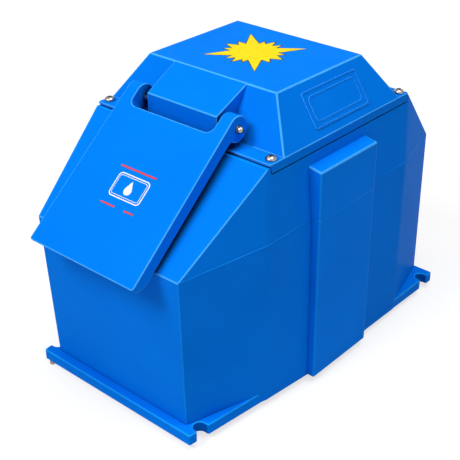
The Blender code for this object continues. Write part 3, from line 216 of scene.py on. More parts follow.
def spread(nodes, links, fac, low, high, start=0.25, end=0.75):
    """Value that goes from low to high while fac goes from start to end."""
    r = nodes.new("ShaderNodeMapRange")
    r.inputs["From Min"].default_value = start
    r.inputs["From Max"].default_value = end
    r.inputs["To Min"].default_value = low
    r.inputs["To Max"].default_value = high
    links.new(fac, r.inputs["Value"])
    return r.outputs["Result"]


def bump(nodes, links, fac, strength, distance, before=None):
    b = nodes.new("ShaderNodeBump")
    b.inputs["Strength"].default_value = strength
    b.inputs["Distance"].default_value = distance
    links.new(fac, b.inputs["Height"])
    if before is not None:
        links.new(before, b.inputs["Normal"])
    return b.outputs["Normal"]


def moulded(name, dark, light, rough, gloss, gap_shade_least=0.04):
    """Rotationally moulded polyethylene: satin skin, faint orange peel, slow waves, and painted shade that
    darkens the colour in gaps and corners.
    """
    m, nodes, links, sh = new_material(name)
    sh.inputs["Specular IOR Level"].default_value = gloss
    v = coords(nodes)
    tone = noise(nodes, links, v, 7.0, 4.0, 0.55)
    # Painted shade: ambient occlusion within 3 cm darkens the base colour in gaps and corners, down to the
    # given least value
    near = nodes.new("ShaderNodeAmbientOcclusion")
    near.samples = 8
    near.inputs["Distance"].default_value = 0.030
    painted_gap_shade = nodes.new("ShaderNodeHueSaturation")
    links.new(two_tone(nodes, links, tone, dark, light), painted_gap_shade.inputs["Color"])
    links.new(spread(nodes, links, near.outputs["AO"], gap_shade_least, 1.0, 0.20, 0.62), painted_gap_shade.inputs["Value"])
    links.new(painted_gap_shade.outputs["Color"], sh.inputs["Base Color"])
    links.new(spread(nodes, links, noise(nodes, links, v, 34.0, 4.0), rough - 0.04, rough + 0.05),
              sh.inputs["Roughness"])
    waves = bump(nodes, links, noise(nodes, links, v, 9.0, 2.0), 0.25, 0.004)
    peel = bump(nodes, links, noise(nodes, links, v, 620.0, 2.0), 0.12, 0.0004, waves)
    links.new(peel, sh.inputs["Normal"])
    return m


def metal(name, dark, light, rough):
    """Bare metal with a fine grain and patches of duller polish."""
    m, nodes, links, sh = new_material(name)
    v = coords(nodes)
    f = noise(nodes, links, v, 300.0, 5.0, 0.6)
    links.new(two_tone(nodes, links, f, dark, light), sh.inputs["Base Color"])
    links.new(spread(nodes, links, noise(nodes, links, v, 120.0, 3.0), rough - 0.06, rough + 0.08),
              sh.inputs["Roughness"])
    links.new(bump(nodes, links, f, 0.15, 0.0002), sh.inputs["Normal"])
    sh.inputs["Metallic"].default_value = 1.0
    return m


def plain(name, dark, light, rough, scale, relief=0.15, depth=0.0004, gloss=0.5):
    """Skin of one kind, with one noise behind its tone, polish and relief."""
    m, nodes, links, sh = new_material(name)
    sh.inputs["Specular IOR Level"].default_value = gloss
    f = noise(nodes, links, coords(nodes), scale, 4.0, 0.6)
    links.new(two_tone(nodes, links, f, dark, light), sh.inputs["Base Color"])
    links.new(spread(nodes, links, f, rough - 0.05, rough + 0.05), sh.inputs["Roughness"])
    links.new(bump(nodes, links, f, relief, depth), sh.inputs["Normal"])
    return m


def ink(name, dark, light, rough=0.45, scale=400.0):
    """Flat print or film with next to no relief and no gloss."""
    return plain(name, dark, light, rough, scale, 0.05, 0.0001, 0.02)


# Every moulded material below darkens in gaps and corners with painted shade
BLUE = moulded("blue_skin", (0.0006, 0.182, 0.790), (0.0010, 0.202, 0.860), 0.42, 0.006)
# Lighter blue of rounded edges: a painted highlight
EDGE_HIGHLIGHT = moulded("blue_edge_highlight", (0.0400, 0.350, 0.920), (0.0650, 0.410, 0.990), 0.26, 0.060)
# Lighter copy of the blue for the panels and flange, with less painted gap shade: painted light
BLUE_PAINTED_LIT = moulded("blue_painted_lit", (0.0006, 0.195, 0.840), (0.0010, 0.216, 0.910), 0.40, 0.006, 0.75)
# Lighter blue of the flange's upper rims: a painted highlight with little painted gap shade
FLANGE_RIM_HIGHLIGHT = moulded("blue_flange_rim_highlight", (0.0050, 0.320, 0.930), (0.0090, 0.365, 0.990), 0.30, 0.040, 0.85)
# Darker blue of the walls inside the flange's notches: painted shade
SHADED = moulded("blue_notch_painted_shade", (0.0004, 0.100, 0.480), (0.0008, 0.120, 0.560), 0.50, 0.004)
# Slightly lighter blue of upright edges and parting lines: a fainter painted highlight with little painted
# gap shade
RIM_HIGHLIGHT = moulded("blue_rim_highlight", (0.0012, 0.235, 0.830), (0.0020, 0.260, 0.900), 0.32, 0.030, 0.85)
TROUGH = moulded("trough_skin", (0.10, 0.27, 0.60), (0.13, 0.32, 0.68), 0.42, 0.3)
FOAM = plain("foam_skin", (0.62, 0.50, 0.26), (0.82, 0.72, 0.46), 0.9, 140.0, 0.5, 0.001)
STEEL = metal("stainless", (0.28, 0.26, 0.24), (0.50, 0.47, 0.44), 0.22)
# Near-black of the screws' cross recesses: painted shade
RECESS_SHADE = plain("recess_painted_shade", (0.010, 0.009, 0.008), (0.035, 0.030, 0.026), 0.6, 900.0)
BRASS = metal("brass_cast", (0.52, 0.34, 0.13), (0.76, 0.56, 0.28), 0.36)
STUD = metal("stud_metal", (0.20, 0.16, 0.12), (0.42, 0.36, 0.28), 0.40)
RUBBER = plain("black_rubber", (0.012, 0.012, 0.012), (0.030, 0.030, 0.030), 0.68, 220.0)
PIPE = plain("black_pipe", (0.015, 0.015, 0.017), (0.040, 0.040, 0.044), 0.42, 30.0)
VINYL = plain("red_vinyl", (0.42, 0.012, 0.010), (0.60, 0.030, 0.020), 0.42, 40.0)
FLOAT_SKIN = plain("float_plastic", (0.66, 0.64, 0.58), (0.80, 0.79, 0.74), 0.45, 30.0)
WHITE_INK = ink("white_ink", (0.78, 0.80, 0.82), (0.88, 0.89, 0.90))
RED_INK = ink("red_ink", (0.66, 0.040, 0.014), (0.78, 0.062, 0.022))
BLACK_INK = ink("black_ink", (0.030, 0.026, 0.010), (0.060, 0.050, 0.020))
YELLOW = ink("yellow_film", (0.86, 0.62, 0.0030), (0.95, 0.70, 0.0060), 0.34, 90.0)


# Mesh helpers


def add_object(bm, name, mats, smooth=True):
    """Object in the scene from a bmesh, which is freed."""
    bmesh.ops.recalc_face_normals(bm, faces=bm.faces)
    me = bpy.data.meshes.new(name)
    bm.to_mesh(me)
    bm.free()
    ob = bpy.data.objects.new(name, me)
    bpy.context.scene.collection.objects.link(ob)
    for m in mats:
        me.materials.append(m)
    if smooth:
        me.shade_smooth()
    return ob


def hull(points):
    """Convex solid round the points, with its flat faces in one piece."""
    bm = bmesh.new()
    for p in points:
        bm.verts.new(p)
    res = bmesh.ops.convex_hull(bm, input=bm.verts)
    loose = [g for g in res["geom_interior"] if isinstance(g, bmesh.types.BMVert)]
    bmesh.ops.delete(bm, geom=loose, context="VERTS")
    bmesh.ops.dissolve_limit(bm, angle_limit=0.002, verts=bm.verts, edges=bm.edges)
    return bm


def box(x0, x1, y0, y1, z0, z1):
    return hull([(x, y, z) for x in (x0, x1) for y in (y0, y1) for z in (z0, z1)])


def prism(outline, z0, z1):
    bm = bmesh.new()
    face = bm.faces.new([bm.verts.new((x, y, z0)) for x, y in outline])
    res = bmesh.ops.extrude_face_region(bm, geom=[face])
    verts = [g for g in res["geom"] if isinstance(g, bmesh.types.BMVert)]
    bmesh.ops.translate(bm, vec=(0, 0, z1 - z0), verts=verts)
    return bm


def lathe(profile, steps):
    """Solid of revolution about Z of an (r, z) profile that starts and ends on the axis."""
    bm = bmesh.new()
    rings = []
    for r, z in profile:
        if r < 1e-9:
            rings.append([bm.verts.new((0, 0, z))])
        else:
            turn = [2 * math.pi * i / steps for i in range(steps)]
            rings.append([bm.verts.new((r * math.cos(a), r * math.sin(a), z)) for a in turn])
    for lo, hi in zip(rings[:-1], rings[1:]):
        for i in range(steps):
            j = (i + 1) % steps
            if len(lo) == 1:
                bm.faces.new((lo[0], hi[j], hi[i]))
            elif len(hi) == 1:
                bm.faces.new((lo[i], lo[j], hi[0]))
            else:
                bm.faces.new((lo[i], lo[j], hi[j], hi[i]))
    return bm


def aim(origin, direction):
    """Matrix that stands a piece made along Z at a point, along a direction."""
    q = Vector((0, 0, 1)).rotation_difference(Vector(direction).normalized())
    return Matrix.Translation(origin) @ q.to_matrix().to_4x4()


def rod(p0, p1, r, steps=24):
    along = Vector(p1) - Vector(p0)
    bm = lathe([(0, 0), (r, 0), (r, along.length), (0, along.length)], steps)
    bmesh.ops.transform(bm, matrix=aim(p0, along), verts=bm.verts)
    return bm


def creases(bm, low, high):
    """Edges of the plain skin whose angle lies between two values in degrees."""
    found = []
    for e in bm.edges:
        if len(e.link_faces) == 2 and all(f.material_index == SKIN for f in e.link_faces):
            if low < math.degrees(e.calc_face_angle(0.0)) <= high:
                found.append(e)
    return found


def soften(bm, offset, segments, angle, wide=0.0, shallow=5.0, clamp=True):
    """Rounds the edges sharper than an angle with the lighter edge material, a painted highlight, then the
    shallower creases widely.

    Without clamp, an outline's short arcs don't hold the rounding of the other edges back.
    """
    bmesh.ops.recalc_face_normals(bm, faces=bm.faces)
    bmesh.ops.bevel(bm, geom=creases(bm, angle, 180.0), offset=offset, segments=segments, profile=0.5,
                    affect="EDGES", clamp_overlap=clamp, material=LIT_EDGE)
    if wide > 0.0:
        bmesh.ops.bevel(bm, geom=creases(bm, shallow, angle), offset=wide, segments=3, profile=0.5,
                        affect="EDGES", clamp_overlap=True, material=SKIN)
    return bm


def quiet_highlight_uprights(bm):
    """Rounded strips of upright edges take the quieter rim material, a fainter painted highlight."""
    bmesh.ops.recalc_face_normals(bm, faces=bm.faces)
    for f in bm.faces:
        if f.material_index == LIT_EDGE and abs(f.normal.z) < 0.15:
            f.material_index = QUIET_LIT_EDGE
    return bm


def round_edges(bm, edges, radius, segments=5):
    bmesh.ops.bevel(bm, geom=edges, offset=radius, segments=segments, profile=0.5, affect="EDGES")


def runs(edge, axis):
    """How far an edge runs along an axis."""
    return abs(edge.verts[0].co[axis] - edge.verts[1].co[axis])


def boolean(target, bm, operation):
    """Applies a bmesh to an object, with the material slots of both."""
    tool = add_object(bm, "tool", list(target.data.materials))
    mod = target.modifiers.new("b", "BOOLEAN")
    mod.operation = operation
    mod.solver = "EXACT"
    mod.object = tool
    bpy.context.view_layer.update()
    mesh = bpy.data.meshes.new_from_object(target.evaluated_get(bpy.context.evaluated_depsgraph_get()))
    target.modifiers.remove(mod)
    old = target.data
    target.data = mesh
    bpy.data.meshes.remove(old)
    bpy.data.objects.remove(tool, do_unlink=True)


def cut(target, bm):
    boolean(target, bm, "DIFFERENCE")


def fuse(target, bm):
    boolean(target, bm, "UNION")


def shade(ob, angle):
    """Smooth shading that keeps large faces flat."""
    ob.data.shade_smooth()
    ob.data.set_sharp_from_angle(angle=math.radians(angle))
    w = ob.modifiers.new("normals", "WEIGHTED_NORMAL")
    w.keep_sharp = True
    w.weight = 80
    return ob


def place(ob, body, slot_name, *nodes):
    """Hangs a piece on its body and hides the nodes that it stands in for. The material slot name is not
    used.
    """
    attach(ob, body)
    if nodes:
        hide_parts(*nodes)
    return ob


# Places on the closed flap: x across, s down its slope from the hinge, n out of its outer face


FLAP_OUT = Vector((0, -math.sin(FLAP_TILT), math.cos(FLAP_TILT)))
FLAP_DOWN = Vector((0, -math.cos(FLAP_TILT), -math.sin(FLAP_TILT)))


def on_flap(x, s, n):
    top = Vector((0, HINGE_Y, height(HINGE_H))) + LUG_R * FLAP_OUT
    return top + Vector((x, 0, 0)) + s * FLAP_DOWN + n * FLAP_OUT


def rounded_block(half, s0, s1, n0, n1, r):
    """Block with rounded corners that stands square to the flap."""
    pts = []
    for sx, ss in ((1, 1), (-1, 1), (-1, -1), (1, -1)):
        for i in range(9):
            a = math.pi / 2 * i / 8
            cs = (s1 - r) if ss > 0 else (s0 + r)
            pts.append((sx * (half - r) + sx * r * math.cos(a), cs + ss * r * math.sin(a)))
    return hull([on_flap(x, s, n) for x, s in pts for n in (n0, n1)])


# Body


def body_points(t, floor_h, top_h):
    """Corners of the body, moved inward by a wall's thickness."""
    pts = []
    inward = (t, 0, 0, 0, 0, -t)
    for s in (1, -1):
        pts += [(s * (x - t), y + dy, height(floor_h)) for (x, y), dy in zip(FOOT, inward)]
        pts += [(s * (x - t), y + dy, height(h - 0.3 * t)) for (x, y, h), dy in zip(PARTING, inward)]
        pts += [(s * (x - t), y + dy, height(top_h)) for (x, y), dy in zip(TOP, (0.6 * t, -0.6 * t))]
    return pts


def edge_half(y):
    """Half the flange's width at a place along the base."""
    end = BASE_L / 2
    if y < PANEL_FRONT_Y:
        return FLANGE_FRONT_HALF + (y + end) / (PANEL_FRONT_Y + end) * (FLANGE_MID_HALF - FLANGE_FRONT_HALF)
    if y < PANEL_REAR_Y:
        return FLANGE_MID_HALF
    return FLANGE_MID_HALF + (y - PANEL_REAR_Y) / (end - PANEL_REAR_Y) * (FLANGE_REAR_HALF - FLANGE_MID_HALF)


def rounded(points, r):
    """Outline whose corners that turn by 50 degrees or more are rounded."""
    out = []
    count = len(points)
    for i in range(count):
        a, p, b = (Vector(points[(i + k) % count]) for k in (-1, 0, 1))
        u, v = (a - p).normalized(), (b - p).normalized()
        turn = u.angle(v)
        if math.degrees(math.pi - turn) < 50.0:
            out.append(tuple(p))
            continue
        mid = p + (u + v).normalized() * (r / math.sin(turn / 2))
        reach = r / math.tan(turn / 2)
        first, last = p + u * reach - mid, p + v * reach - mid
        for k in range(6):
            w = first * (1 - k / 5) + last * (k / 5)
            out.append(tuple(mid + w.normalized() * r))
    return out


def flange_outline():
    """Right side from front to rear with its two open notches, and the left side as its mirror."""
    end = BASE_L / 2
    pts = [(FLANGE_FRONT_HALF, -end)]
    for cy, cx in ((-end + NOTCH_FROM_END, NOTCH_FRONT_X), (end - NOTCH_FROM_END, NOTCH_REAR_X)):
        pts.append((edge_half(cy - NOTCH_R), cy - NOTCH_R))
        for i in range(17):
            a = -math.pi / 2 - math.pi * i / 16
            pts.append((cx + NOTCH_R * math.cos(a), cy + NOTCH_R * math.sin(a)))
        pts.append((edge_half(cy + NOTCH_R), cy + NOTCH_R))
        if cy < 0:
            pts += [(FLANGE_MID_HALF, PANEL_FRONT_Y), (FLANGE_MID_HALF, PANEL_REAR_Y)]
    pts.append((FLANGE_REAR_HALF, end))
    return rounded(pts + [(-x, y) for x, y in reversed(pts)], FLANGE_CORNER_R)


def panel(s):
    profile = ((PANEL_ROOT_HALF, PANEL_FOOT_H), (PANEL_FOOT_HALF, PANEL_FOOT_H),
               (PANEL_TOP_HALF, PANEL_TOP_H), (PANEL_ROOT_HALF, PANEL_TOP_H + 0.006))
    pts = [(s * x, y, height(h)) for y in (PANEL_FRONT_Y, PANEL_REAR_Y) for x, h in profile]
    block = quiet_highlight_uprights(soften(hull(pts), 0.0028, 3, 40))
    # The panel's plain faces take the lighter painted-lit blue
    for f in block.faces:
        if f.material_index == SKIN:
            f.material_index = LIT_FACE
    return block


def screw_places():
    ends = (COVER_FRONT_Y + SCREW_FROM_END, COVER_REAR_Y - SCREW_FROM_END)
    return [(s * SCREW_HALF, y) for s in (1, -1) for y in ends]


def opening(grow, low, high):
    """Block over the body's top opening, grown on its four sides."""
    half = OPENING_HALF + grow
    return box(-half, half, OPENING_FRONT_Y - grow, OPENING_REAR_Y + grow, height(low), height(high))


def gasket_rail():
    """Low frame that stands round the body's top opening, inside the gasket's groove."""
    ob = add_object(opening(RAIL_W, TOP_H - RAIL_H, TOP_H), "rail", [BLUE, EDGE_HIGHLIGHT])
    cut(ob, opening(0.0, TOP_H - RAIL_H - 0.01, TOP_H + 0.01))
    bm = bmesh.new()
    bm.from_mesh(ob.data)
    bpy.data.objects.remove(ob, do_unlink=True)
    return bm


def outer_shell():
    """Faceted body without its flange and panels, whose top and upright edges take the quieter painted
    highlight.
    """
    shell = soften(hull(body_points(0.0, 0.0005, TOP_H)), 0.0016, 2, 34, 0.0080, 4)
    for f in shell.faces:
        if f.calc_center_median().z > height(TOP_H - 0.003) and f.material_index == LIT_EDGE:
            f.material_index = QUIET_LIT_EDGE
    return quiet_highlight_uprights(shell)


def base_flange():
    """Flange with rounded rims in a painted highlight, painted shade on the walls inside its four notches,
    and its other faces in the lighter painted-lit blue.
    """
    flange = soften(prism(flange_outline(), height(0.0), height(FLANGE_T)), 0.0019, 3, 40, clamp=False)
    notch_y = BASE_L / 2 - NOTCH_FROM_END
    for f in flange.faces:
        mid = f.calc_center_median()
        inset = edge_half(mid.y) - abs(mid.x)
        if f.material_index == LIT_EDGE and mid.z > height(0.01):
            f.material_index = LIT_FLANGE_RIM
        elif abs(f.normal.z) < 0.2 and inset > 0.004 and abs(abs(mid.y) - notch_y) < 0.02:
            f.material_index = SHADED_NOTCH
        else:
            f.material_index = LIT_FACE
    return flange


def stand_on_pads(ob):
    """Moulded pads that hold the flange clear of the ground."""
    top = height(PAD_LAP)
    for s in (1, -1):
        fuse(ob, box(*span(s, 0.128, 0.150), -0.300, 0.300, 0.0, top))
    for y0, y1, half in ((-0.190, 0.165, 0.012), (-0.315, -0.295, 0.120), (0.295, 0.315, 0.120)):
        fuse(ob, box(-half, half, y0, y1, 0.0, top))


def make_body():
    ob = add_object(outer_shell(), "body_moulding", [BLUE, EDGE_HIGHLIGHT, RIM_HIGHLIGHT, FLANGE_RIM_HIGHLIGHT, SHADED, BLUE_PAINTED_LIT])
    fuse(ob, base_flange())
    fuse(ob, panel(1))
    fuse(ob, panel(-1))
    fuse(ob, rounded_block(HOLE_HALF + RIM_W, HOLE_FROM - RIM_W, HOLE_TO + RIM_W,
                           -RIM_ROOT, -FLAP_T - RIM_GAP, RIM_CORNER_R))
    stand_on_pads(ob)
    cut(ob, hull(body_points(WALL, FLOOR_T, TOP_H - WALL)))
    # The wall steps in behind the recess that the cover's skirt hangs in
    skirt_x = COVER_HALF - SKIRT_T - SKIRT_SIDE_GAP
    skirt_y0, skirt_y1 = COVER_FRONT_Y - SKIRT_SIDE_GAP, COVER_REAR_Y + SKIRT_SIDE_GAP
    for s in (1, -1):
        fuse(ob, box(*span(s, skirt_x - WALL, skirt_x + WALL - STEP_INSET), skirt_y0 - WALL, skirt_y1 + WALL,
                     height(SKIRT_H - WALL), height(TOP_H - WALL + STEP_LAP)))
    for x, y in screw_places():
        fuse(ob, rod((x, y, height(TOP_H - BOSS_DEPTH)), (x, y, height(TOP_H - 0.003)), BOSS_R))
    cut(ob, opening(0.0, TOP_H - 0.03, TOP_H + 0.02))
    cut(ob, rounded_block(HOLE_HALF, HOLE_FROM, HOLE_TO, -0.085, 0.02, HOLE_CORNER_R))
    for s in (1, -1):
        room = box(*span(s, skirt_x, 0.25), skirt_y0, skirt_y1, height(SKIRT_H), height(TOP_H + 0.03))
        low = [e for e in room.edges if runs(e, 0) > 0.02
               and max(v.co.z for v in e.verts) < height(SKIRT_H + 0.01)]
        round_edges(room, low, 0.0055, 6)
        cut(ob, room)
    cut(ob, opening(GROOVE_W, TOP_H - GROOVE_DEPTH, TOP_H + 0.01))
    fuse(ob, gasket_rail())
    for x, y in screw_places():
        cut(ob, rod((x, y, height(TOP_H - INSERT_DEPTH)), (x, y, height(TOP_H + 0.01)), INSERT_R))
    cut(ob, rod((0, RISER_Y, -0.01), (0, RISER_Y, height(FLOOR_T + 0.02)), RISER_HOLE_R, 40))
    cut(ob, rod((0, DRAIN_Y, -0.01), (0, DRAIN_Y, height(FLOOR_T + 0.02)), DRAIN_HOLE_R, 32))
    cut(ob, rod((*STUD_AT, height(STUD_HOLE_H)), (*STUD_AT, -0.01), STUD_HOLE_R))
    return place(shade(ob, 35.0), "housing", "blue_polyethylene", "body_shell")


def strand(points, r, name, mat, steps=8):
    """Thin moulded line along points of the housing."""
    aside = Vector((0.13, 0.21, 0.97))
    bm = bmesh.new()
    rings = []
    count = len(points)
    for i, p in enumerate(points):
        t = (Vector(points[min(i + 1, count - 1)]) - Vector(points[max(i - 1, 0)])).normalized()
        side = t.cross(aside).normalized()
        up = side.cross(t)
        turn = [2 * math.pi * k / steps for k in range(steps)]
        rings.append([bm.verts.new(Vector(p) + r * (math.cos(a) * side + math.sin(a) * up)) for a in turn])
    for lo, hi in zip(rings[:-1], rings[1:]):
        for k in range(steps):
            j = (k + 1) % steps
            bm.faces.new((lo[k], lo[j], hi[j], hi[k]))
    bm.faces.new(rings[0])
    bm.faces.new(rings[-1])
    return place(add_object(bm, name, [mat]), "housing", "blue_polyethylene")


def make_parting_lines():
    """The mould's parting line, sunk in the walls by most of its thickness and led round each panel, in a
    lighter blue that is a painted highlight.
    """
    share = (PART_H - PANEL_FOOT_H) / (PANEL_TOP_H - PANEL_FOOT_H)
    x = PANEL_FOOT_HALF + share * (PANEL_TOP_HALF - PANEL_FOOT_HALF) - 0.0003
    y0, y1 = PANEL_FRONT_Y - 0.0002, PANEL_REAR_Y + 0.0002
    round_panel = [(0.2125, y0), (x - 0.002, y0), (x, PANEL_FRONT_Y + 0.002),
                   (x, PANEL_REAR_Y - 0.002), (x - 0.002, y1), (0.2125, y1)]
    for s, tag in ((1, "right"), (-1, "left")):
        line = [(s * (x - 0.0006), y + dy, height(h))
                for (x, y, h), dy in zip(PARTING, (0.0014, 0, 0, 0, 0, -0.0022))]
        strand(line[:3], 0.0010, "parting_front_" + tag, RIM_HIGHLIGHT)
        strand(line[3:], 0.0010, "parting_rear_" + tag, RIM_HIGHLIGHT)
        strand([(s * x, y, height(PART_H)) for x, y in round_panel], 0.0008, "parting_panel_" + tag, RIM_HIGHLIGHT)


# Cover


def across_hinge(s, near, far, r):
    """Rod on the flap's axis, on one side."""
    return rod((s * near, HINGE_Y, height(HINGE_H)), (s * far, HINGE_Y, height(HINGE_H)), r)


def crown_points(t, base_h, top_h):
    """Corners of the crown, moved inward by a wall's thickness."""
    pts = []
    for s in (1, -1):
        x, up = s * (COVER_HALF - t), s * (CROWN_TOP_HALF - t * 0.9)
        pts += [(x, CROWN_FRONT_Y + t, height(base_h)), (x, CROWN_REAR_Y - t, height(base_h)),
                (up, CROWN_TOP_FRONT_Y + t * 0.9, height(top_h)),
                (up, CROWN_TOP_REAR_Y - t * 0.9, height(top_h))]
    return pts


def hinge_box_points(t):
    """Corners of the hinge box, moved inward by a wall's thickness."""
    slope = (CROWN_TOP_H - BOX_FRONT_H) / (CROWN_TOP_FRONT_Y - BOX_FRONT_Y)
    rear_h = CROWN_TOP_H - t * 1.05
    back_y = CROWN_TOP_FRONT_Y + 0.03
    pts = []
    for s in (1, -1):
        r = s * (BOX_REAR_HALF - t)
        f = s * (BOX_FRONT_HALF - t)
        pts += [(f, BOX_FRONT_Y + t, height(BOX_FRONT_H - t * 1.05 + slope * t)),
                (f, BOX_FRONT_Y + t, height(BOX_BOTTOM_H + t)), (r, CROWN_TOP_FRONT_Y, height(rear_h)),
                (r, back_y, height(rear_h - 0.02)), (r, back_y, height(BOX_BOTTOM_H + t))]
    return pts


def side_place(u, v, n):
    """Point on the cover's right crown face: u along +Y, v up the slope, n outward."""
    up = Vector((CROWN_TOP_HALF - COVER_HALF, 0, CROWN_TOP_H - SHELF_H)).normalized()
    out = Vector((up.z, 0, -up.x))
    mid = Vector((0.1692, 0.036, height(0.4935)))
    return mid + Vector((0, u, 0)) + v * up + n * out


def badge_block(half_u, half_v, r, n0, n1):
    pts = []
    for su, sv in ((1, 1), (-1, 1), (-1, -1), (1, -1)):
        for i in range(8):
            a = math.pi / 2 * i / 7
            pts.append((su * (half_u - r + r * math.cos(a)), sv * (half_v - r + r * math.sin(a))))
    return hull([side_place(u, v, n) for u, v in pts for n in (n0, n1)])


def round_uprights(bm):
    """Rounds the outer upright corners of the cover."""
    edges = [e for e in bm.edges if min(abs(v.co.x) for v in e.verts) > COVER_HALF - 0.0001
             and runs(e, 2) > 0.004 and runs(e, 1) < 0.0001]
    round_edges(bm, edges, 0.0040)


def make_cover():
    plate = box(-COVER_HALF, COVER_HALF, COVER_FRONT_Y - 0.0034, COVER_REAR_Y,
                height(PLATE_H + 0.0008), height(SHELF_H))
    round_uprights(plate)
    ob = add_object(soften(plate, 0.0012, 2, 40, clamp=False), "cover_moulding", [BLUE, EDGE_HIGHLIGHT, RIM_HIGHLIGHT])
    for s in (1, -1):
        skirt = box(*span(s, COVER_HALF - SKIRT_T, COVER_HALF), COVER_FRONT_Y, COVER_REAR_Y,
                    height(SKIRT_H + 0.0022), height(SHELF_H - 0.0012))
        ends = [e for e in skirt.edges if runs(e, 0) > 0.004 and e.verts[0].co.z < height(SKIRT_H + 0.01)]
        round_edges(skirt, ends, 0.0045)
        round_uprights(skirt)
        fuse(ob, quiet_highlight_uprights(soften(skirt, 0.0009, 2, 60)))
    fuse(ob, soften(hull(crown_points(0.0, SHELF_H - 0.0015, CROWN_TOP_H)), 0.0021, 3, 20))
    fuse(ob, soften(hull(hinge_box_points(0.0)), 0.0015, 2, 20))
    fuse(ob, soften(badge_block(0.0765, 0.0327, 0.006, -0.004, 0.0012), 0.0006, 2, 60))
    cut(ob, soften(badge_block(0.0735, 0.0297, 0.004, 0.0002, 0.004), 0.0003, 1, 60))
    fuse(ob, soften(badge_block(0.0655, 0.0225, 0.010, -0.004, 0.0010), 0.0005, 2, 60))
    cut(ob, soften(badge_block(0.0632, 0.0202, 0.008, 0.0002, 0.004), 0.0003, 1, 60))
    cut(ob, hull(crown_points(CROWN_WALL, SHELF_H, CROWN_TOP_H - CROWN_WALL)))
    cut(ob, hull(hinge_box_points(CROWN_WALL)))
    for s in (1, -1):
        fuse(ob, across_hinge(s, 0.058, 0.0765, HINGE_BOSS_R))
    cut(ob, opening(0.0, PLATE_H - 0.01, SHELF_H + 0.0005))
    for s in (1, -1):
        cut(ob, across_hinge(s, 0.061, 0.10, HINGE_INSERT_R))
    for x, y in screw_places():
        cut(ob, rod((x, y, height(PLATE_H - 0.02)), (x, y, height(SHELF_H + 0.02)), SCREW_HOLE_R))
    # Thin strands of the lighter edge blue along the crown's front foot: a painted highlight on the crease
    for s, tag in ((1, "right"), (-1, "left")):
        line = [(s * x, CROWN_FRONT_Y - 0.0004, height(SHELF_H + 0.0002))
                for x in (0.125, 0.140, 0.160, 0.1935)]
        strand(line, 0.0009, "crown_foot_highlight_" + tag, EDGE_HIGHLIGHT)
    return place(shade(ob, 33.0), "housing", "blue_polyethylene", "top_cover")


# Flap


def flap_profile():
    """Side outline of the flap as (s, n): top face, rounded foot, under face and lug."""
    pts = [(0.0, 0.0), (FLAP_L, 0.0), (FLAP_L, -FLAP_EDGE_T)]
    foot = FLAP_L - FLAP_FOOT_R
    for i in range(1, 14):
        a = math.pi / 2 * i / 14
        pts.append((foot + FLAP_FOOT_R * math.cos(a), -FLAP_EDGE_T - (FLAP_T - FLAP_EDGE_T) * math.sin(a)))
    pts.append((foot, -FLAP_T))
    meet = math.sqrt(LUG_R ** 2 - (FLAP_T - LUG_R) ** 2)
    pts.append((meet + 0.006, -FLAP_T))
    pts.append((meet + 0.0022, -FLAP_T - 0.0012))
    for i in range(44):
        a = math.radians(-12.0 - 258.0 * i / 44)
        pts.append((LUG_R * math.cos(a), -LUG_R + LUG_R * math.sin(a)))
    return pts


def bridge(rows):
    """Solid between two outlines with as many points."""
    bm = bmesh.new()
    vs = [[bm.verts.new(p) for p in row] for row in rows]
    count = len(vs[0])
    for i in range(count):
        j = (i + 1) % count
        bm.faces.new((vs[0][i], vs[0][j], vs[1][j], vs[1][i]))
    bm.faces.new(vs[0])
    bm.faces.new(vs[1])
    return bm


def flap_solid():
    rows = []
    for s in (1, -1):
        row = []
        for a, n in flap_profile():
            half = FLAP_TOP_HALF + (FLAP_FOOT_HALF - FLAP_TOP_HALF) * max(0.0, a) / FLAP_L
            row.append(on_flap(s * half, a, n))
        rows.append(row)
    return bridge(rows)


def flap_cutout():
    """What leaves room for the hinge box between the two lugs."""
    pts = [(-FLAP_CUT_HALF, -0.06), (FLAP_CUT_HALF, -0.06)]
    r = FLAP_CUT_R
    for sx in (1, -1):
        for i in range(10):
            a = math.pi / 2 * i / 9
            pts.append((sx * (FLAP_CUT_HALF - r + r * math.cos(a)), FLAP_CUT_DEPTH - r + r * math.sin(a)))
    return hull([on_flap(x, s, n) for x, s in pts for n in (-0.07, 0.03)])


def flap_foot_trim(s):
    """What a rounded lower corner leaves off."""
    x, y = FLAP_FOOT_HALF - FLAP_CORNER_R, FLAP_L - FLAP_CORNER_R
    pts = [(FLAP_FOOT_HALF + 0.01, FLAP_L + 0.01), (FLAP_FOOT_HALF + 0.01, y)]
    for i in range(7):
        a = math.pi / 2 * i / 6
        pts.append((x + FLAP_CORNER_R * math.cos(a), y + FLAP_CORNER_R * math.sin(a)))
    pts.append((x, FLAP_L + 0.01))
    return bridge([[on_flap(s * x, a, n) for x, a in pts] for n in (-0.06, 0.02)])


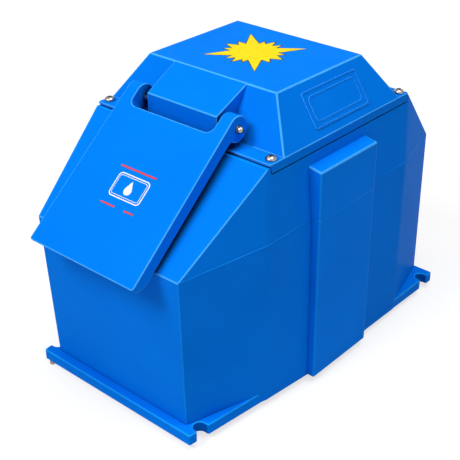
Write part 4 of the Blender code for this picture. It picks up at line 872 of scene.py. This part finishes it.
def make_flap():
    ob = add_object(flap_solid(), "flap_moulding", [BLUE, EDGE_HIGHLIGHT])
    cut(ob, flap_cutout())
    cut(ob, flap_foot_trim(1))
    cut(ob, flap_foot_trim(-1))
    bm = bmesh.new()
    bm.from_mesh(ob.data)
    bmesh.ops.remove_doubles(bm, verts=bm.verts, dist=0.00002)
    bmesh.ops.dissolve_limit(bm, angle_limit=0.01, verts=bm.verts, edges=bm.edges)
    soften(bm, 0.0016, 2, 42, clamp=False)
    bm.to_mesh(ob.data)
    bm.free()
    w = FLAP_WALL
    inner = [on_flap(x, s, n) for x in (w - FLAP_TOP_HALF, FLAP_TOP_HALF - w)
             for s in (FLAP_CUT_DEPTH + w + 0.004, FLAP_L - 0.030) for n in (-FLAP_T + w, -w)]
    cut(ob, hull(inner))
    cut(ob, rod(on_flap(0.0, 0.055, -0.012), on_flap(0.0, 0.055, -0.045), 0.004))
    for s in (1, -1):
        cut(ob, across_hinge(s, 0.085, 0.13, HINGE_BOLT_ROOM_R))
    return place(shade(ob, 40.0), "flap", "blue_polyethylene", "drinking_flap")


# Prints


def film(points, name, body, mat, thick, normal):
    """Thin printed or stuck shape over points that lie on a flat face."""
    bm = bmesh.new()
    face = bm.faces.new([bm.verts.new(p) for p in points])
    face.normal_update()
    if face.normal.dot(normal) < 0:
        face.normal_flip()
    res = bmesh.ops.extrude_face_region(bm, geom=[face])
    verts = [g for g in res["geom"] if isinstance(g, bmesh.types.BMVert)]
    bmesh.ops.translate(bm, vec=normal * thick, verts=verts)
    return place(add_object(bm, name, [mat], smooth=False), body, "blue_polyethylene")


def flap_print(points, name, mat, lift=0.0001):
    return film([on_flap(x, s, lift) for x, s in points], name, "flap", mat, 0.00015, FLAP_OUT)


def drop_shape(cx, cs, r, length, steps=24):
    """Water drop with its point up the flap."""
    pts = [(cx, cs - length)]
    open_a = math.acos(r / length)
    start = -math.pi / 2 + open_a
    sweep = 2 * math.pi - 2 * open_a
    for i in range(steps + 1):
        a = start + sweep * i / steps
        pts.append((cx + r * math.cos(a), cs + r * math.sin(a)))
    return pts


def grown(points, d):
    """Outline moved outward by a distance, with its sharp tips cut short."""
    out = []
    count = len(points)
    area = sum(p.cross(points[(i + 1) % count]) for i, p in enumerate(points))
    turn = 1.0 if area > 0 else -1.0
    for i, p in enumerate(points):
        n = []
        for a, b in ((points[i - 1], p), (p, points[(i + 1) % count])):
            e = (b - a).normalized()
            n.append(Vector((e.y, -e.x)) * turn)
        both = n[0] + n[1]
        reach = min(d / max(0.25, 0.5 * both.length_squared), 3.0 * d / max(both.length, 0.01))
        out.append(p + both * reach)
    return out


def burst_outline():
    """Four long points, with short ones and notches between them as (share of the way, reach)."""
    tips = [(-0.0640, -0.0345), (0.0541, -0.0391), (0.0538, 0.1052), (-0.0708, 0.1007)]
    mid = Vector((-0.0068, 0.0331))
    short = ((0.23, 0.042), (0.32, 0.058), (0.41, 0.043), (0.51, 0.062), (0.61, 0.043), (0.69, 0.055),
             (0.77, 0.041))
    star = []
    for k, tip in enumerate(tips):
        arm = Vector(tip) - mid
        after = Vector(tips[(k + 1) % 4]) - mid
        star.append(mid + arm)
        for share, reach in short:
            star.append(mid + (arm * (1 - share) + after * share).normalized() * reach)
    return star


def make_prints():
    """Plain rules and a label with a water drop on the flap, and a plain burst on the crown."""
    for x, s, half_x, half_s, name in ((0.0063, 0.1315, 0.0398, 0.0014, "rule_upper"),
                                       (-0.015, 0.200, 0.0165, 0.0013, "rule_lower_left"),
                                       (0.033, 0.200, 0.0105, 0.0013, "rule_lower_right")):
        flap_print(corners(half_x, half_s, 0.0010, 3, x, s), name, RED_INK)
    for half_x, half_s, r, name, mat, lift in ((0.0350, 0.0220, 0.0080, "label_plate", WHITE_INK, 0.0001),
                                               (0.0330, 0.0200, 0.0065, "label_field", BLUE, 0.00026),
                                               (0.0308, 0.0178, 0.0050, "label_line", WHITE_INK, 0.00042),
                                               (0.0298, 0.0168, 0.0042, "label_inner", BLUE, 0.00058)):
        flap_print(corners(half_x, half_s, r, 7, *LABEL_AT), name, mat, lift)
    flap_print(drop_shape(LABEL_AT[0], LABEL_AT[1] + 0.005, 0.0078, 0.0178), "label_drop", WHITE_INK, 0.00074)
    crown = height(CROWN_TOP_H) - 0.00004
    for name, grow, mat, lift, thick in (("burst_outline", 0.0019, BLACK_INK, 0.0, 0.00016),
                                         ("plain_burst", 0.0, YELLOW, 0.00010, 0.00018)):
        pts = [(*p, crown + lift) for p in grown(burst_outline(), grow)]
        film(pts, name, "housing", mat, thick, Vector((0, 0, 1)))


# Fasteners


def screw(at, direction, head_r, head_h, shank_l, turn, node):
    """Pan-headed screw with a cross recess painted near-black as shade, and a threaded shank."""
    shank_r = 0.003
    prof = []
    for i in range(9):
        a = math.pi / 2 * i / 8
        prof.append((head_r * math.sin(a), head_h * (0.22 + 0.78 * math.cos(a))))
    prof += [(head_r * 0.985, head_h * 0.06), (head_r * 0.96, 0.0), (shank_r, 0.0)]
    z = -0.0012
    while z > -shank_l + 0.0014:
        prof += [(shank_r * 0.86, z), (shank_r, z - 0.0004)]
        z -= 0.0009
    prof += [(shank_r * 0.6, -shank_l), (0.0, -shank_l)]
    ob = add_object(lathe(prof, 36), node + "_fine", [STEEL, RECESS_SHADE])
    for a in (0.0, math.pi / 2):
        w = head_r * 0.14
        slot = [(s * half * head_r, y, z * head_h) for half, z in ((0.60, 1.2), (0.34, 0.30))
                for s in (-1, 1) for y in (-w, w)]
        bm = hull(slot)
        # The recess faces take the near-black painted shade
        for f in bm.faces:
            f.material_index = 1
        bmesh.ops.rotate(bm, cent=(0, 0, 0), matrix=Matrix.Rotation(a + turn, 3, "Z"), verts=bm.verts)
        cut(ob, bm)
    ob.data.transform(aim(at, direction))
    return place(shade(ob, 38.0), "housing", "stainless_steel", node)


def make_screws():
    top = height(SHELF_H + 0.0003)
    tags = ("front_right", "rear_right", "front_left", "rear_left")
    for k, ((x, y), tag) in enumerate(zip(screw_places(), tags)):
        screw((x, y, top), (0, 0, 1), 0.0096, 0.0074, 0.026, 0.3 + 0.8 * k, "cover_screw_" + tag)
    for s, tag in ((1, "right"), (-1, "left")):
        at = (s * (FLAP_TOP_HALF + 0.0022), HINGE_Y, height(HINGE_H))
        screw(at, (s, 0, 0), 0.0064, 0.0088, 0.053, 0.5 * s, "hinge_bolt_" + tag)


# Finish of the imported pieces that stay


def finish_nodes():
    looks = {
        "stainless_steel": STEEL, "brass": BRASS, "black_rubber": RUBBER, "black_pipe": PIPE,
        "handle_vinyl": VINYL, "float_plastic": FLOAT_SKIN, "polyurethane_foam": FOAM,
        "trough_polyethylene": TROUGH, "blue_polyethylene": BLUE,
    }
    by_node = {p["node"]: p["material_slot"] for p in frame["record"]["subparts"]}
    for name, ob in frame["nodes"].items():
        mat = STUD if name == "corner_stud" else looks[by_node[name]]
        ob.data.materials.clear()
        ob.data.materials.append(mat)


# Floor, light and camera


def seen_rays(nodes, links):
    """One where a ray comes from the camera, a reflection or a transmission."""
    path = nodes.new("ShaderNodeLightPath")
    first = nodes.new("ShaderNodeMath")
    first.operation = "ADD"
    links.new(path.outputs["Is Camera Ray"], first.inputs[0])
    links.new(path.outputs["Is Glossy Ray"], first.inputs[1])
    both = nodes.new("ShaderNodeMath")
    both.operation = "ADD"
    both.use_clamp = True
    links.new(first.outputs[0], both.inputs[0])
    links.new(path.outputs["Is Transmission Ray"], both.inputs[1])
    return both.outputs[0]


def make_stage():
    """Pale floor: what is seen of it keeps the shadow and glows to white, what lights the object doesn't."""
    bm = bmesh.new()
    bmesh.ops.create_circle(bm, cap_ends=True, radius=9.0, segments=96)
    m = bpy.data.materials.new("pale_floor")
    m.use_nodes = True
    nodes = m.node_tree.nodes
    links = m.node_tree.links
    nodes.clear()
    out = nodes.new("ShaderNodeOutputMaterial")
    lit = nodes.new("ShaderNodeBsdfDiffuse")
    lit.inputs["Color"].default_value = (0.66, 0.66, 0.66, 1)
    seen = nodes.new("ShaderNodeBsdfDiffuse")
    seen.inputs["Color"].default_value = (0.38, 0.38, 0.38, 1)
    glow = nodes.new("ShaderNodeEmission")
    glow.inputs["Color"].default_value = (1, 1, 1, 1)
    where = nodes.new("ShaderNodeTexCoord")
    far = nodes.new("ShaderNodeVectorMath")
    far.operation = "LENGTH"
    links.new(where.outputs["Object"], far.inputs[0])
    links.new(spread(nodes, links, far.outputs["Value"], 0.71, 0.95, 1.0, 3.6), glow.inputs["Strength"])
    both = nodes.new("ShaderNodeAddShader")
    links.new(seen.outputs[0], both.inputs[0])
    links.new(glow.outputs[0], both.inputs[1])
    mix = nodes.new("ShaderNodeMixShader")
    links.new(seen_rays(nodes, links), mix.inputs[0])
    links.new(lit.outputs[0], mix.inputs[1])
    links.new(both.outputs[0], mix.inputs[2])
    links.new(mix.outputs[0], out.inputs["Surface"])
    floor = add_object(bm, "studio_floor", [m], smooth=False)
    floor.location = (0, 0, -0.0002)


def make_world():
    """Dim sky that lights the object, and an even backdrop for what is seen past the floor."""
    w = bpy.data.worlds.new("studio")
    bpy.context.scene.world = w
    w.use_nodes = True
    nodes = w.node_tree.nodes
    links = w.node_tree.links
    nodes.clear()
    out = nodes.new("ShaderNodeOutputWorld")
    sky = nodes.new("ShaderNodeBackground")
    sky.inputs["Strength"].default_value = 0.30
    backdrop = nodes.new("ShaderNodeBackground")
    where = nodes.new("ShaderNodeTexCoord")
    axes = nodes.new("ShaderNodeSeparateXYZ")
    links.new(where.outputs["Generated"], axes.inputs[0])
    shades = [(0.0, (0.30, 0.31, 0.33)), (0.9, (0.82, 0.82, 0.82))]
    links.new(ramp(nodes, links, axes.outputs["Z"], shades), sky.inputs["Color"])
    mix = nodes.new("ShaderNodeMixShader")
    links.new(seen_rays(nodes, links), mix.inputs[0])
    links.new(sky.outputs[0], mix.inputs[1])
    links.new(backdrop.outputs[0], mix.inputs[2])
    links.new(mix.outputs[0], out.inputs["Surface"])


def area_light(name, at, target, size, power):
    d = bpy.data.lights.new(name, "AREA")
    d.shape = "SQUARE"
    d.size = size
    d.energy = power
    ob = bpy.data.objects.new(name, d)
    bpy.context.scene.collection.objects.link(ob)
    ob.location = at
    ob.rotation_euler = (Vector(target) - Vector(at)).to_track_quat("-Z", "Y").to_euler()


def make_lights():
    area_light("key", (-0.5, -2.5, 2.9), (0, 0, 0.25), 1.3, 75.0)
    area_light("top", (0.7, -0.1, 3.3), (0, 0, 0.3), 1.8, 58.0)
    area_light("side", (3.2, -0.2, 1.0), (0, 0, 0.25), 1.6, 7.0)


def make_camera():
    """The camera that was fitted to the photograph."""
    az = math.radians(40.98)
    el = math.radians(29.85)
    back = Vector((math.sin(az) * math.cos(el), -math.cos(az) * math.cos(el), math.sin(el)))
    right = Vector((math.cos(az), math.sin(az), 0))
    up = back.cross(right)
    d = bpy.data.cameras.new("camera")
    d.sensor_width = 36.0
    d.lens = 78.81
    d.clip_end = 60.0
    ob = bpy.data.objects.new("camera", d)
    m = Matrix((right, up, back)).transposed().to_4x4()
    m.translation = (1.0648, -1.2647, 1.1407 + PAD_H)
    ob.matrix_world = m
    bpy.context.scene.collection.objects.link(ob)
    bpy.context.scene.camera = ob


bpy.context.scene.view_settings.view_transform = "Standard"
finish_nodes()
make_body()
make_parting_lines()
make_cover()
make_flap()
make_prints()
make_screws()
make_stage()
make_world()
make_lights()
make_camera()
